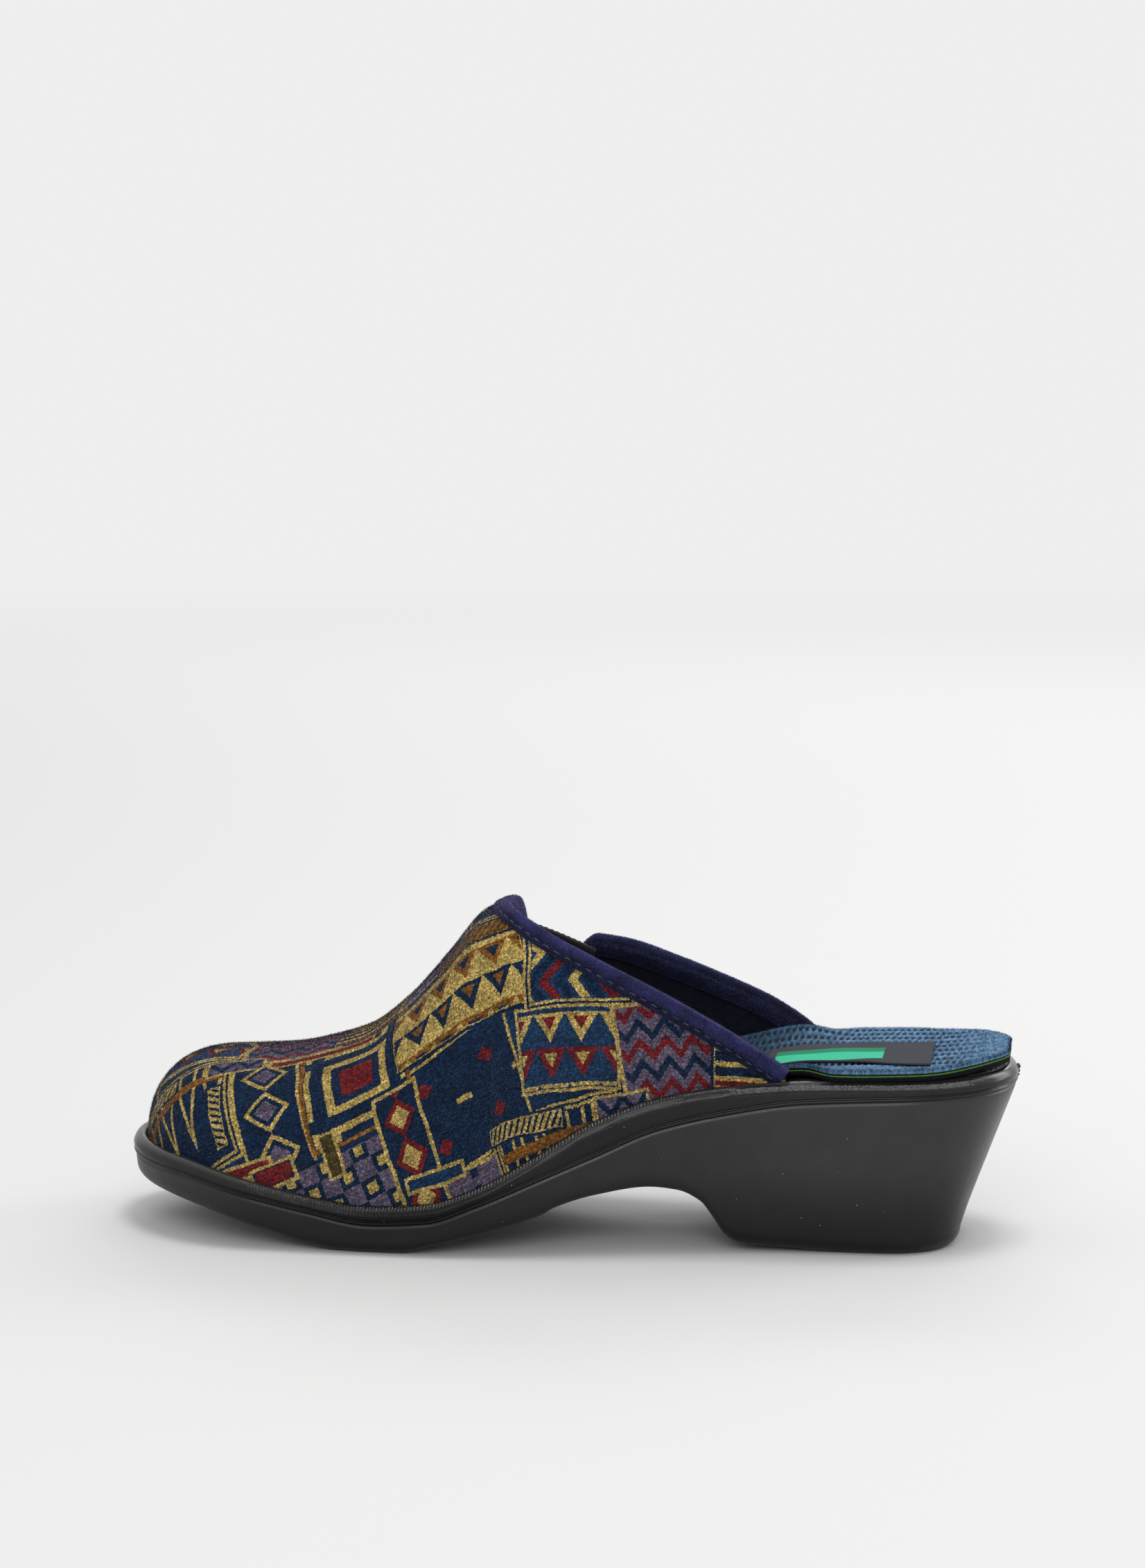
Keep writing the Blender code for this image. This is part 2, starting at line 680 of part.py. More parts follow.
def make_insole_label(bottom, collection):
    along, across = 10, 4
    columns = []
    for i in range(along + 1):
        station = LABEL_STATIONS[0] + (LABEL_STATIONS[1] - LABEL_STATIONS[0]) * i / along
        level = footbed_height(station) + bottom + LABEL_THICKNESS + insole_rise(station, False)
        outer = LABEL_OUTER[0] + (LABEL_OUTER[1] - LABEL_OUTER[0]) * ramp(station, *LABEL_FLARE)
        column = []
        for j in range(across + 1):
            column.append(Vector((station, outer + (LABEL_INNER - outer) * j / across, level)))
        columns.append(column)
    material = make_material("insole_label", (0.03, 0.032, 0.036), 0.8)
    label = make_object("insole_label", surface_grid(columns), collection, material)
    add_solidify(label, LABEL_THICKNESS)
    return label


def make_collection(name):
    collection = bpy.data.collections.new(name)
    bpy.context.scene.collection.children.link(collection)
    return collection


def main():
    for leftover in list(bpy.data.objects):
        bpy.data.objects.remove(leftover, do_unlink=True)
    parts = make_collection("house_slipper")
    cutters = make_collection("cutters")
    make_sole(parts)
    make_upper(parts, make_notch_cutter(cutters))
    velvet = make_material("binding", (0.02, 0.025, 0.09), 0.8)
    make_binding("binding_front", front_binding_places(), True, parts, velvet)
    make_binding("binding_rear", rear_binding_places(), False, parts, velvet)
    make_gore(parts)
    base = make_material("insole_base", (0.02, 0.09, 0.06), 0.85)
    make_insole_layer("insole_base", 0.0, BASE_THICKNESS, parts, base)
    cover = make_material("insole_cover", (0.05, 0.14, 0.22), 0.9)
    cover_bottom = BASE_THICKNESS + GAP
    make_insole_layer("insole_cover", cover_bottom, COVER_THICKNESS, parts, cover)
    make_insole_label(cover_bottom + COVER_THICKNESS + 2 * GAP, parts)


main()
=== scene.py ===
"""Looks of a left house slipper: its solids dressed with velour, velvet tape, knit and moulded foam.

Lengths are in millimetres until a mesh is made. A station is the distance along the foot from
the toe of the sole. The outer side of the foot lies at -Y and the inner side at +Y.
"""
import math
from collections import namedtuple

import bmesh
import bpy
import numpy as np
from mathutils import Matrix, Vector


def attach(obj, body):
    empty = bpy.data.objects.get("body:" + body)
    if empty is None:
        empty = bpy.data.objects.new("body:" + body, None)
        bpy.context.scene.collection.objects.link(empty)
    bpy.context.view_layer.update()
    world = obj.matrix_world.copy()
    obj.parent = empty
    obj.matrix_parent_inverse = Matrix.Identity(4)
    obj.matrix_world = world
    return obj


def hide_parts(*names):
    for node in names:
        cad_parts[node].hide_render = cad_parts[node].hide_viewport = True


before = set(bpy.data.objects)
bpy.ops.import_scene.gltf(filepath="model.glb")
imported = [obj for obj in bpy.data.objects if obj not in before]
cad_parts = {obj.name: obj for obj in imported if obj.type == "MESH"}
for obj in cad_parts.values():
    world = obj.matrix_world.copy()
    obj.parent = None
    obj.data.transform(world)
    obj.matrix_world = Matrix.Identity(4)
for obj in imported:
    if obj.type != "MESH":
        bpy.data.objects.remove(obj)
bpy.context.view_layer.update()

MM = 0.001
OUTER, INNER = -1, 1        # the two sides of the foot
RANDOM = np.random.default_rng(7)


def table(columns, *rows):
    """Rows with named columns."""
    row_type = namedtuple("Row", columns)
    return [row_type(*row) for row in rows]


# Camera: the photograph's place, turn and lens
CAMERA_AT = (0.158, -1.2612, 0.2923)
CAMERA_TURN = (1.44347, 0.0, 0.12373)
CAMERA_LENS = 102.16

# Driving dimensions, as in the solids
LENGTH = 260.0
BALL_WIDTH = 93.0
HEEL_HEIGHT = 46.0
INSTEP_HEIGHT = 94.6
UPPER_WALL = 2.4
GAP = 0.35
SOLID_RINGS, SOLID_WEIGHT = 50, 2.0     # the solids' steps along the sole, which set its middle

# Sole: shares of LENGTH, of BALL_WIDTH (centre, half_width) and of HEEL_HEIGHT, in percent
SOLE_SECTIONS = table(
    "station centre half_width parting lip cup",
    (0.0, 8.6, 45.2, 42.0, 53.9, 12.0),
    (8.0, 4.0, 46.1, 40.4, 51.1, 12.0),
    (15.0, 1.4, 47.1, 33.3, 43.9, 12.0),
    (23.0, 0.2, 48.7, 24.6, 35.0, 11.0),
    (30.0, -0.5, 49.8, 18.3, 30.2, 11.0),
    (36.5, -1.3, 49.9, 20.7, 32.8, 11.0),
    (42.0, -1.7, 48.8, 31.3, 43.0, 11.0),
    (48.0, -1.9, 46.2, 45.7, 61.3, 11.0),
    (54.5, -1.7, 42.8, 61.5, 83.5, 10.0),
    (61.5, -1.4, 39.8, 78.5, 98.5, 8.7),
    (69.0, -0.8, 38.2, 88.5, 105.9, 6.1),
    (77.0, -0.2, 37.6, 95.4, 109.6, 2.2),
    (88.5, 0.0, 37.6, 98.5, 111.1, 0.7),
    (100.0, 0.0, 37.6, 100.0, 112.2, 0.7),
)
TREAD_LINE = table(
    "station height",
    (0.0, 26.5), (5.4, 25.2), (10.8, 20.9), (17.7, 10.9), (22.3, 3.9), (26.5, 0.0), (33.5, 0.0),
    (37.0, 5.0), (43.5, 14.3), (49.0, 25.0), (49.9, 28.3), (54.6, 36.5), (60.2, 41.0), (63.4, 38.8),
    (65.8, 31.8), (67.3, 20.4), (68.4, 10.6), (69.9, 5.0), (72.2, 3.3), (84.0, 0.0), (100.0, 0.0),
)
TOE_REACH, TOE_POWER = 45.0, 2.0
HEEL_REACH, HEEL_POWER = 38.0, 2.1
LIP_WIDTH = 4.2
SIDE_TAPER, BACK_TAPER = 0.11, 0.38
TREAD_EDGE, EDGE_SHARE = 5.0, 0.6
WALL_INSET = 0.7
RIM_ROWS = table(
    "inset from_lip rise",                      # from_lip: 1 at the lip, 0 at the parting line
    (4.0, 1, -1.6), (3.7, 1, -0.35), (2.6, 1, 0.0), (1.5, 1, -0.3), (0.8, 1, -0.95), (0.35, 1, -1.85),
    (0.0, 1, -2.7), (0.05, 0, 1.95), (0.2, 0, 1.7), (0.7, 0, 1.45), (0.4, 0, 1.1), (0.05, 0, 0.8),
    (0.25, 0, 0.35), (1.15, 0, 0.0), (0.85, 0, -0.45), (WALL_INSET, 0, -0.9),
)

# Upper: shares of LENGTH and of INSTEP_HEIGHT, in percent
CROWN_LINE = table(
    "station height",
    (12.3, 52.1), (18.5, 53.4), (23.1, 56.2), (27.7, 60.9), (32.3, 70.8), (36.9, 85.2), (40.8, 97.6),
    (43.5, 100.0), (48.1, 102.5), (55.8, 105.7), (80.0, 109.9),
)
COLLAR_LINE = table(
    "station outer inner",
    (43.5, 100.0, 100.0), (45.4, 98.0, 98.0), (49.6, 93.0, 85.6), (52.7, 89.4, 84.6), (55.8, 85.5, 83.2),
    (61.5, 78.0, 77.6), (66.5, 70.5, 71.9), (71.5, 62.1, 65.5), (75.0, 55.6, 59.4), (77.0, 51.5, 54.8),
)
CROWN_OFFSET = 3.0
FULLNESS = 2.35
UPPER_INSET = LIP_WIDTH + 0.4
FEATHER_SHARE = 0.6
PEAK = 0.435 * LENGTH
COLLAR_END = {OUTER: 0.752 * LENGTH, INNER: 0.767 * LENGTH}

# Notch for the elastic, as (station, height) in the side view
NOTCH_FRONT = [(114.3, 97.0), (113.8, 90.0), (114.6, 84.0)]
NOTCH_REAR = [(131.8, 74.0), (133.2, 80.8), (140.5, 81.2)]
NOTCH_FOOT_FRONT, NOTCH_FOOT_REAR = (120.4, 61.0), (128.6, 61.0)
NOTCH_STOP, NOTCH_TOP, NOTCH_NEAR = 0.9, 106.0, 6.0
NOTCH_MARGIN = 3.0          # the cut looks at faces this far around it
GORE_TOP = [(111.4, 93.4), (136.0, 79.6)]
GORE_FOOT = [(118.4, 54.0), (129.6, 54.0)]
GORE_THICKNESS, GORE_DEPTH = 1.1, 4.65     # GORE_DEPTH: from the upper's outer face
GORE_RIBS, GORE_RIB_HEIGHT, GORE_BACK_SHARE = 15, 0.16, 0.5     # the ribs are flatter on the back
GORE_SETBACK, GORE_STEPS = 0.1, (60, 24)

# Binding
BINDING_WIDTH, BINDING_INSIDE, NOTCH_WIDTH = 4.8, 4.6, 3.4
TAPE, LINING_GAP = 0.85, 0.5
EDGE_ROOM = {OUTER: 0.3, INNER: 1.2}   # free room in the fold of the front and the rear tape
NOTCH_ROOM = 1.6
NARROW_FROM, NARROW_TO = 8.0, 40.0
ROOMY_TO, SNUG_FROM = 8.0, 24.0
SHORTEST_LEG, LEG_STEP, LIP_ROOM = 1.4, 0.2, -2.6
CORNER_JOIN = 0.3
TUCK = 0.3                  # how far the tape's ends go down behind the sole's lip
TAPE_SWELL, FOLD_SWELL = 0.34, 0.1     # how far the soft tape bulges between the seam and the fold

# Insole; pairs of numbers are the start and the end of an eased change
BASE_THICKNESS, COVER_THICKNESS = 1.6, 1.5
FORE_INSET, WAIST_INSET, HEEL_INSET = 7.8, 9.4, 1.2
INSOLE_END = LENGTH - HEEL_INSET
WAIST = (130.0, 160.0)
HEEL = (4.0, 14.0)          # behind the collar's end
HEEL_LIFT, LIFT = 1.3, (0.9 * LENGTH, 0.98 * LENGTH)
HEEL_CUP, CUP, CUP_BAND = 0.3, (240.0, LENGTH), 9.0     # the edge stands up a little more at the heel
ARCH_LIFT, ARCH_RISE, ARCH_FALL, ARCH_SIDE = 2.5, (135.0, 178.0), (195.0, 212.0), (4.0, 28.0)
EDGE_CURL, CURL_STATION, CURL_REACH, CURL_BAND = 1.3, 193.0, 26.0, 6.0
EDGE_ROLL, UNDER_ROLL = 1.2, 0.4        # width of the rolled edge, and its share underneath
PIT_ALONG, PIT_ACROSS = 1.9, 6.6        # spacing of the knit's pits; every other row is staggered
PIT_HALF, PIT_DEPTH, PIT_MARGIN = (0.84, 2.9), 0.75, (1.0, 3.0)
HEEL_WEAR, WORN_PITS, SMOOTH_STRIP = 0.8, (234.0, 256.0), (-31.0, -23.0)
LABEL_STATIONS, LABEL_THICKNESS, LABEL_STEPS = (188.0, 236.0), 0.5, (48, 32)
LABEL_INNER, LABEL_OUTER, LABEL_FLARE = 5.0, (-21.5, -28.5), (205.0, 232.0)
LABEL_WAVE, LABEL_WAVE_SCALES, LABEL_SINK = 0.14, (3.1, 4.3), 0.05


# Shape functions; they take and return arrays
def smooth_curve(xs, ys):
    """A curve through the points that doesn't overshoot them (a monotone cubic)."""
    xs, ys = np.array(xs, float), np.array(ys, float)
    steps = np.diff(xs)
    slopes = np.diff(ys) / steps
    product = slopes[:-1] * slopes[1:]
    total = np.where(product > 0, slopes[:-1] + slopes[1:], 1.0)
    inner = np.where(product > 0, 2 * product / total, 0.0)
    tangents = np.concatenate(([slopes[0]], inner, [slopes[-1]]))

    def value(x):
        x = np.clip(x, xs[0], xs[-1])
        i = np.clip(np.searchsorted(xs, x, side="right") - 1, 0, len(steps) - 1)
        t = (x - xs[i]) / steps[i]
        start = (1 + 2 * t) * (1 - t) ** 2 * ys[i] + t * (1 - t) ** 2 * steps[i] * tangents[i]
        end = t * t * (3 - 2 * t) * ys[i + 1] - t * t * (1 - t) * steps[i] * tangents[i + 1]
        return start + end

    return value


def column_curve(rows, column, size):
    """A smooth curve along the stations from one column of a table of percentages."""
    stations = [row.station / 100 * LENGTH for row in rows]
    return smooth_curve(stations, [getattr(row, column) / 100 * size for row in rows])


def ramp(x, start, end):
    """0 before start and 1 after end, eased between them."""
    t = np.clip((np.asarray(x, float) - start) / (end - start), 0.0, 1.0)
    return t * t * (3 - 2 * t)


def between(start, end, share):
    return start + (end - start) * share


def shares(steps):
    """Even steps from 0 to 1."""
    return np.linspace(0, 1, steps + 1)


def unit(vectors, shortest=0.0):
    return vectors / np.maximum(np.linalg.norm(vectors, axis=-1, keepdims=True), shortest)


def stacked(*columns):
    return np.stack(np.broadcast_arrays(*columns), axis=-1)


def raised(plan, height):
    """Points of a plan at a height."""
    return stacked(plan[..., 0], plan[..., 1], height)


def listed(*grids):
    """The points of grids, one after the other."""
    return np.concatenate([grid.reshape(-1, 3) for grid in grids])


def running(steps):
    return np.concatenate(([0.0], np.cumsum(steps)))


def lengths_along(points):
    """The distance of each point from the first, along the points."""
    return running(np.linalg.norm(np.diff(points, axis=0), axis=1))


centre_line = column_curve(SOLE_SECTIONS, "centre", BALL_WIDTH)
body_half_width = column_curve(SOLE_SECTIONS, "half_width", BALL_WIDTH)
parting_height = column_curve(SOLE_SECTIONS, "parting", HEEL_HEIGHT)
lip_height = column_curve(SOLE_SECTIONS, "lip", HEEL_HEIGHT)
cup_depth = column_curve(SOLE_SECTIONS, "cup", HEEL_HEIGHT)
tread_height = column_curve(TREAD_LINE, "height", HEEL_HEIGHT)
crown_height = column_curve(CROWN_LINE, "height", INSTEP_HEIGHT)
collar_height = {
    OUTER: column_curve(COLLAR_LINE, "outer", INSTEP_HEIGHT),
    INNER: column_curve(COLLAR_LINE, "inner", INSTEP_HEIGHT),
}
CROWN_START = CROWN_LINE[0].station / 100 * LENGTH


def footbed_height(station):
    return lip_height(station) - cup_depth(station)


def end_round(distance, reach, power):
    """0 at an end of the outline and 1 a reach away from it."""
    left = np.clip(1.0 - distance / reach, 0.0, 1.0)
    return np.maximum(0.0, 1.0 - left ** power) ** (1.0 / power)


def half_width(station):
    toe = end_round(station, TOE_REACH, TOE_POWER)
    heel = end_round(LENGTH - station, HEEL_REACH, HEEL_POWER)
    return body_half_width(station) * toe * heel


def station_of(angle):
    return LENGTH / 2 * (1 - np.cos(angle))


def angle_of(station, side):
    return side * np.arccos(np.clip(1 - 2 * np.asarray(station) / LENGTH, -1.0, 1.0))


def rim_plan(angle):
    """The sole's outline: the angle is 0 at the toe, pi at the heel and negative on the outer side."""
    station = station_of(angle)
    return stacked(station, centre_line(station) + np.sign(np.sin(angle)) * half_width(station))


def rim_outward(angle):
    step = 0.002
    along = unit(rim_plan(angle + step) - rim_plan(angle - step))
    return stacked(-along[..., 1], along[..., 0])


def inset_plan(angle, inset):
    return rim_plan(angle) - rim_outward(angle) * np.asarray(inset)[..., None]


def ring_angles(steps, weight):
    """Angles at even steps along the outline and the tread line, from toe to heel."""
    angles = np.linspace(0, math.pi, 4001)
    stations = station_of(angles)
    lengths = lengths_along(stacked(stations, half_width(stations), weight * tread_height(stations)))
    return np.interp(np.linspace(0, lengths[-1], steps + 1), lengths, angles)


SOLID_ANGLES = ring_angles(SOLID_RINGS, SOLID_WEIGHT)
RIM_SIDES = rim_plan(np.concatenate((SOLID_ANGLES, -SOLID_ANGLES)))[:, 1]
ORIGIN = np.array((LENGTH / 2, (RIM_SIDES.min() + RIM_SIDES.max()) / 2, 0.0))


def upper_point(station, turn):
    """The upper's outer face. The turn is 0 at the outer feather edge, 0.5 on the ridge, 1 inside."""
    station, turn = np.broadcast_arrays(np.asarray(station, float), np.asarray(turn, float))
    foot = inset_plan(angle_of(station, np.where(turn < 0.5, OUTER, INNER)), UPPER_INSET)
    crown_station = np.maximum(station, CROWN_START)
    crown = stacked(crown_station, centre_line(crown_station) + CROWN_OFFSET)
    across, up = np.abs(np.cos(math.pi * turn)), np.sin(math.pi * turn)
    reach = (across ** FULLNESS + np.abs(up) ** FULLNESS) ** (-1 / FULLNESS)
    plan = crown + (foot - crown) * (reach * across)[..., None]
    base = footbed_height(foot[..., 0]) + GAP + FEATHER_SHARE * cup_depth(foot[..., 0])
    return raised(plan, base + (crown_height(crown_station) - base) * reach * up)


def upper_slopes(station, turn):
    """How the upper's face runs along the stations and around the foot."""
    step, twist = 0.05, 0.0005
    along = (upper_point(station + step, turn) - upper_point(station - step, turn)) / (2 * step)
    around = (upper_point(station, turn + twist) - upper_point(station, turn - twist)) / (2 * twist)
    return along, around


def upper_normal(station, turn):
    along, around = upper_slopes(station, turn)
    return unit(np.cross(along, around))


def upper_offset(station, turn, out):
    return upper_point(station, turn) + upper_normal(station, turn) * np.asarray(out)[..., None]


def slid(station, turn, direction, distance):
    """The places reached on the upper's face by going a distance along it."""
    steps = 4
    for _ in range(steps):
        along, around = upper_slopes(station, turn)
        move = direction * (np.asarray(distance) / steps)[..., None]
        aa, ab, bb = (along * along).sum(-1), (along * around).sum(-1), (around * around).sum(-1)
        ma, mb = (move * along).sum(-1), (move * around).sum(-1)
        span = aa * bb - ab * ab
        station = station + (ma * bb - mb * ab) / span
        turn = turn + (mb * aa - ma * ab) / span
    return station, turn


def on_side(side, share):
    """A turn counted from the feather edge of that side, as a turn of the whole upper, or back."""
    return share if side == OUTER else 1.0 - share


def turn_at(station, height, side):
    """The turn at which one side of the upper reaches a height."""
    low, high = np.zeros(np.shape(station)), np.full(np.shape(station), 0.5)
    for _ in range(40):
        middle = (low + high) / 2
        under = upper_point(station, on_side(side, middle))[..., 2] < height
        low, high = np.where(under, middle, low), np.where(under, high, middle)
    return on_side(side, low)


def collar_turn(station, side):
    station = np.asarray(station, float)
    return np.where(station <= PEAK, 0.5, turn_at(station, collar_height[side](station), side))


def corner_points(corner, steps=12):
    """A rounded corner from its start, its vertex and its end."""
    start, vertex, end = (np.array(point) for point in corner)
    t = shares(steps)[:, None]
    return start * (1 - t) ** 2 + vertex * 2 * t * (1 - t) + end * t * t


# Meshes
WELD, SLIVER = 0.004, 0.001             # closer points are joined, and thinner faces dissolved


def grid_faces(rows, columns, start=0):
    """Quads of a grid whose points are listed row by row."""
    index = start + np.arange(rows * columns).reshape(rows, columns)
    corners = (index[:-1, :-1], index[1:, :-1], index[1:, 1:], index[:-1, 1:])
    return np.stack([corner.ravel() for corner in corners], axis=1)


def add_object(name, data):
    added = bpy.data.objects.new(name, data)
    bpy.context.scene.collection.objects.link(added)
    return added


def make_piece(name, points, face_blocks, materials, chart=None, replaced=(),
               weld=True, outward=True):
    """A mesh from points of the foot's frame and arrays of faces with equal corner counts.

    A chart is a name and a set of coordinates for the materials.
    """
    mesh = bpy.data.meshes.new(name)
    faces = [face for block in face_blocks for face in block.tolist()]
    mesh.from_pydata(((points.reshape(-1, 3) - ORIGIN) * MM).tolist(), [], faces)
    if chart:
        layer = mesh.attributes.new(chart[0], "FLOAT_VECTOR", "POINT")
        layer.data.foreach_set("vector", np.ascontiguousarray(chart[1], dtype=np.float32).ravel())
    if weld:
        bm = bmesh.new()
        bm.from_mesh(mesh)
        bmesh.ops.remove_doubles(bm, verts=bm.verts, dist=WELD * MM)
        bmesh.ops.dissolve_degenerate(bm, edges=bm.edges, dist=SLIVER * MM)
        if outward:
            bmesh.ops.recalc_face_normals(bm, faces=bm.faces)
        bm.to_mesh(mesh)
        bm.free()
    mesh.shade_smooth()
    for material in materials:
        mesh.materials.append(material)
    piece = add_object(name, mesh)
    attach(piece, "root")
    if replaced:
        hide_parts(*replaced)
    return piece


def closed_sheet(name, front, back, material, chart_name, charts, replaced):
    """Two grids of the same size, with a chart each, joined along their edges into a closed body."""
    rows, columns = front.shape[:2]
    count = rows * columns
    index = np.arange(count).reshape(rows, columns)
    edge = np.concatenate((index[0, :-1], index[:-1, -1], index[-1, :0:-1], index[:0:-1, 0]))
    after = np.roll(edge, -1)
    sides = np.stack((edge, after, after + count, edge + count), axis=1)
    faces = [grid_faces(rows, columns), grid_faces(rows, columns, count)[:, ::-1], sides]
    chart = (chart_name, listed(*charts))
    return make_piece(name, listed(front, back), faces, [material], chart, replaced)


Fibres = namedtuple("Fibres", "count shortest longest half_width wander comb")
Scatter = namedtuple("Scatter", "root chart normal along")
FIBRE_RISE = (0.45, 0.95)   # share of its length by which a fibre stands up
FIBRE_ROOT, FIBRE_SHADE = 0.1, 0.25     # depth of the root, and how far the shading follows the lean


def scattered(points, chart, count, flip=1, weight=1.0):
    """Random spots spread over a grid of points, with their chart, their normal and the way along."""
    a, b, c, d = points[:-1, :-1], points[1:, :-1], points[1:, 1:], points[:-1, 1:]
    areas = np.linalg.norm(np.cross(c - a, d - b), axis=-1) / 2 * weight
    chosen = RANDOM.choice(areas.size, count, p=(areas / areas.sum()).ravel())
    column, row = np.unravel_index(chosen, areas.shape)
    s, t = RANDOM.random((2, count, 1))

    def blend(grid):
        low = grid[column, row] * (1 - s) + grid[column + 1, row] * s
        high = grid[column, row + 1] * (1 - s) + grid[column + 1, row + 1] * s
        return low * (1 - t) + high * t

    along = points[column + 1, row] - points[column, row]
    normal = np.cross(along, points[column, row + 1] - points[column, row]) * flip
    fine = (np.linalg.norm(normal, axis=1) > 1e-6) & (np.linalg.norm(along, axis=1) > 1e-6)
    return Scatter(blend(points)[fine], blend(chart)[fine], unit(normal[fine]), unit(along[fine]))


def make_fibres(name, spots, kind, material, chart_name):
    """Single fibres rooted at the spots and combed along the grid; each takes the colour at its root."""
    count = len(spots.root)
    normal = spots.normal
    lean = unit(spots.along * kind.comb + RANDOM.normal(0.0, kind.wander, (count, 3)))
    lean = unit(lean - normal * (lean * normal).sum(1, keepdims=True))
    length = RANDOM.uniform(kind.shortest, kind.longest, (count, 1))
    rise = RANDOM.uniform(*FIBRE_RISE, (count, 1))
    tip = spots.root + (normal * rise + lean * np.sqrt(1 - rise ** 2)) * length
    breadth = np.cross(normal, lean) * kind.half_width
    base = spots.root - normal * FIBRE_ROOT
    corners = np.stack((base - breadth, base + breadth, tip), axis=1)
    faces = [np.arange(3 * count).reshape(-1, 3)]
    chart = (chart_name, np.repeat(spots.chart, 3, axis=0))
    fuzz = make_piece(name, corners, faces, [material], chart, weld=False)
    shading = unit(normal + lean * FIBRE_SHADE)
    fuzz.data.normals_split_custom_set_from_vertices(np.repeat(shading, 3, axis=0).tolist())


# Materials: numbers that vary over a surface are fields
def operator(operation, swapped=False):
    """A method that puts a field through one Math node."""
    def method(field, *others):
        return combine(operation, *((*others, field) if swapped else (field, *others)))

    return method


class Field:
    """A number at each point of a surface, made of Math nodes, that takes the usual operators."""

    def __init__(self, tree, socket):
        self.tree = tree
        self.socket = socket

    __add__, __radd__ = operator("ADD"), operator("ADD", swapped=True)
    __sub__, __rsub__ = operator("SUBTRACT"), operator("SUBTRACT", swapped=True)
    __mul__, __rmul__ = operator("MULTIPLY"), operator("MULTIPLY", swapped=True)
    __truediv__, __abs__ = operator("DIVIDE"), operator("ABSOLUTE")
    __lt__, __gt__ = operator("LESS_THAN"), operator("GREATER_THAN")


def feed(tree, value, socket):
    """A field or a socket is linked; a constant is set, and a colour of three numbers gets its alpha."""
    source = value.socket if isinstance(value, Field) else value
    if isinstance(source, bpy.types.NodeSocket):
        tree.links.new(source, socket)
    elif socket.type == "RGBA":
        socket.default_value = (*value, 1.0)
    else:
        socket.default_value = value


def add_node(tree, kind, values, **settings):
    """A shader node with its settings; the values are fed to its sockets, by number or name."""
    node = tree.nodes.new("ShaderNode" + kind)
    for name, setting in settings.items():
        setattr(node, name, setting)
    for key, value in values.items():
        feed(tree, value, node.inputs[key])
    return node


def combine(operation, *values):
    """A Math node; at least one of its values is a field."""
    tree = next(value.tree for value in values if isinstance(value, Field))
    return Field(tree, add_node(tree, "Math", dict(enumerate(values)), operation=operation).outputs[0])


def near(field, centre, half):
    """1 within half of the centre, and 0 elsewhere."""
    return combine("COMPARE", field, centre, half)


def fold(field, half):
    """The distance to the nearest multiple of two halves."""
    return combine("PINGPONG", field, half)


def ridged(field, half):
    """0 on the multiples of two halves and 1 midway between them."""
    return fold(field, half) / half


def wrapped(field, size):
    """The field folded into 0 to size, over and over."""
    return combine("WRAP", field, size, 0.0)


def spread(field, low, high, to_low=0.0, to_high=1.0, eased=True):
    """The field's range from low to high, mapped to another range and held at its ends."""
    values = {"Value": field, "From Min": low, "From Max": high, "To Min": to_low, "To Max": to_high}
    easing = "SMOOTHSTEP" if eased else "LINEAR"
    return Field(field.tree, add_node(field.tree, "MapRange", values, interpolation_type=easing).outputs[0])


def fading(field, start, end):
    """1 before start and 0 after end."""
    return spread(field, start, end, 1.0, 0.0)


def varied(noise, low, high, half=0.2):
    """Noise, half to either side of its middle, as a factor from low to high."""
    return spread(noise, 0.5 - half, 0.5 + half, low, high)


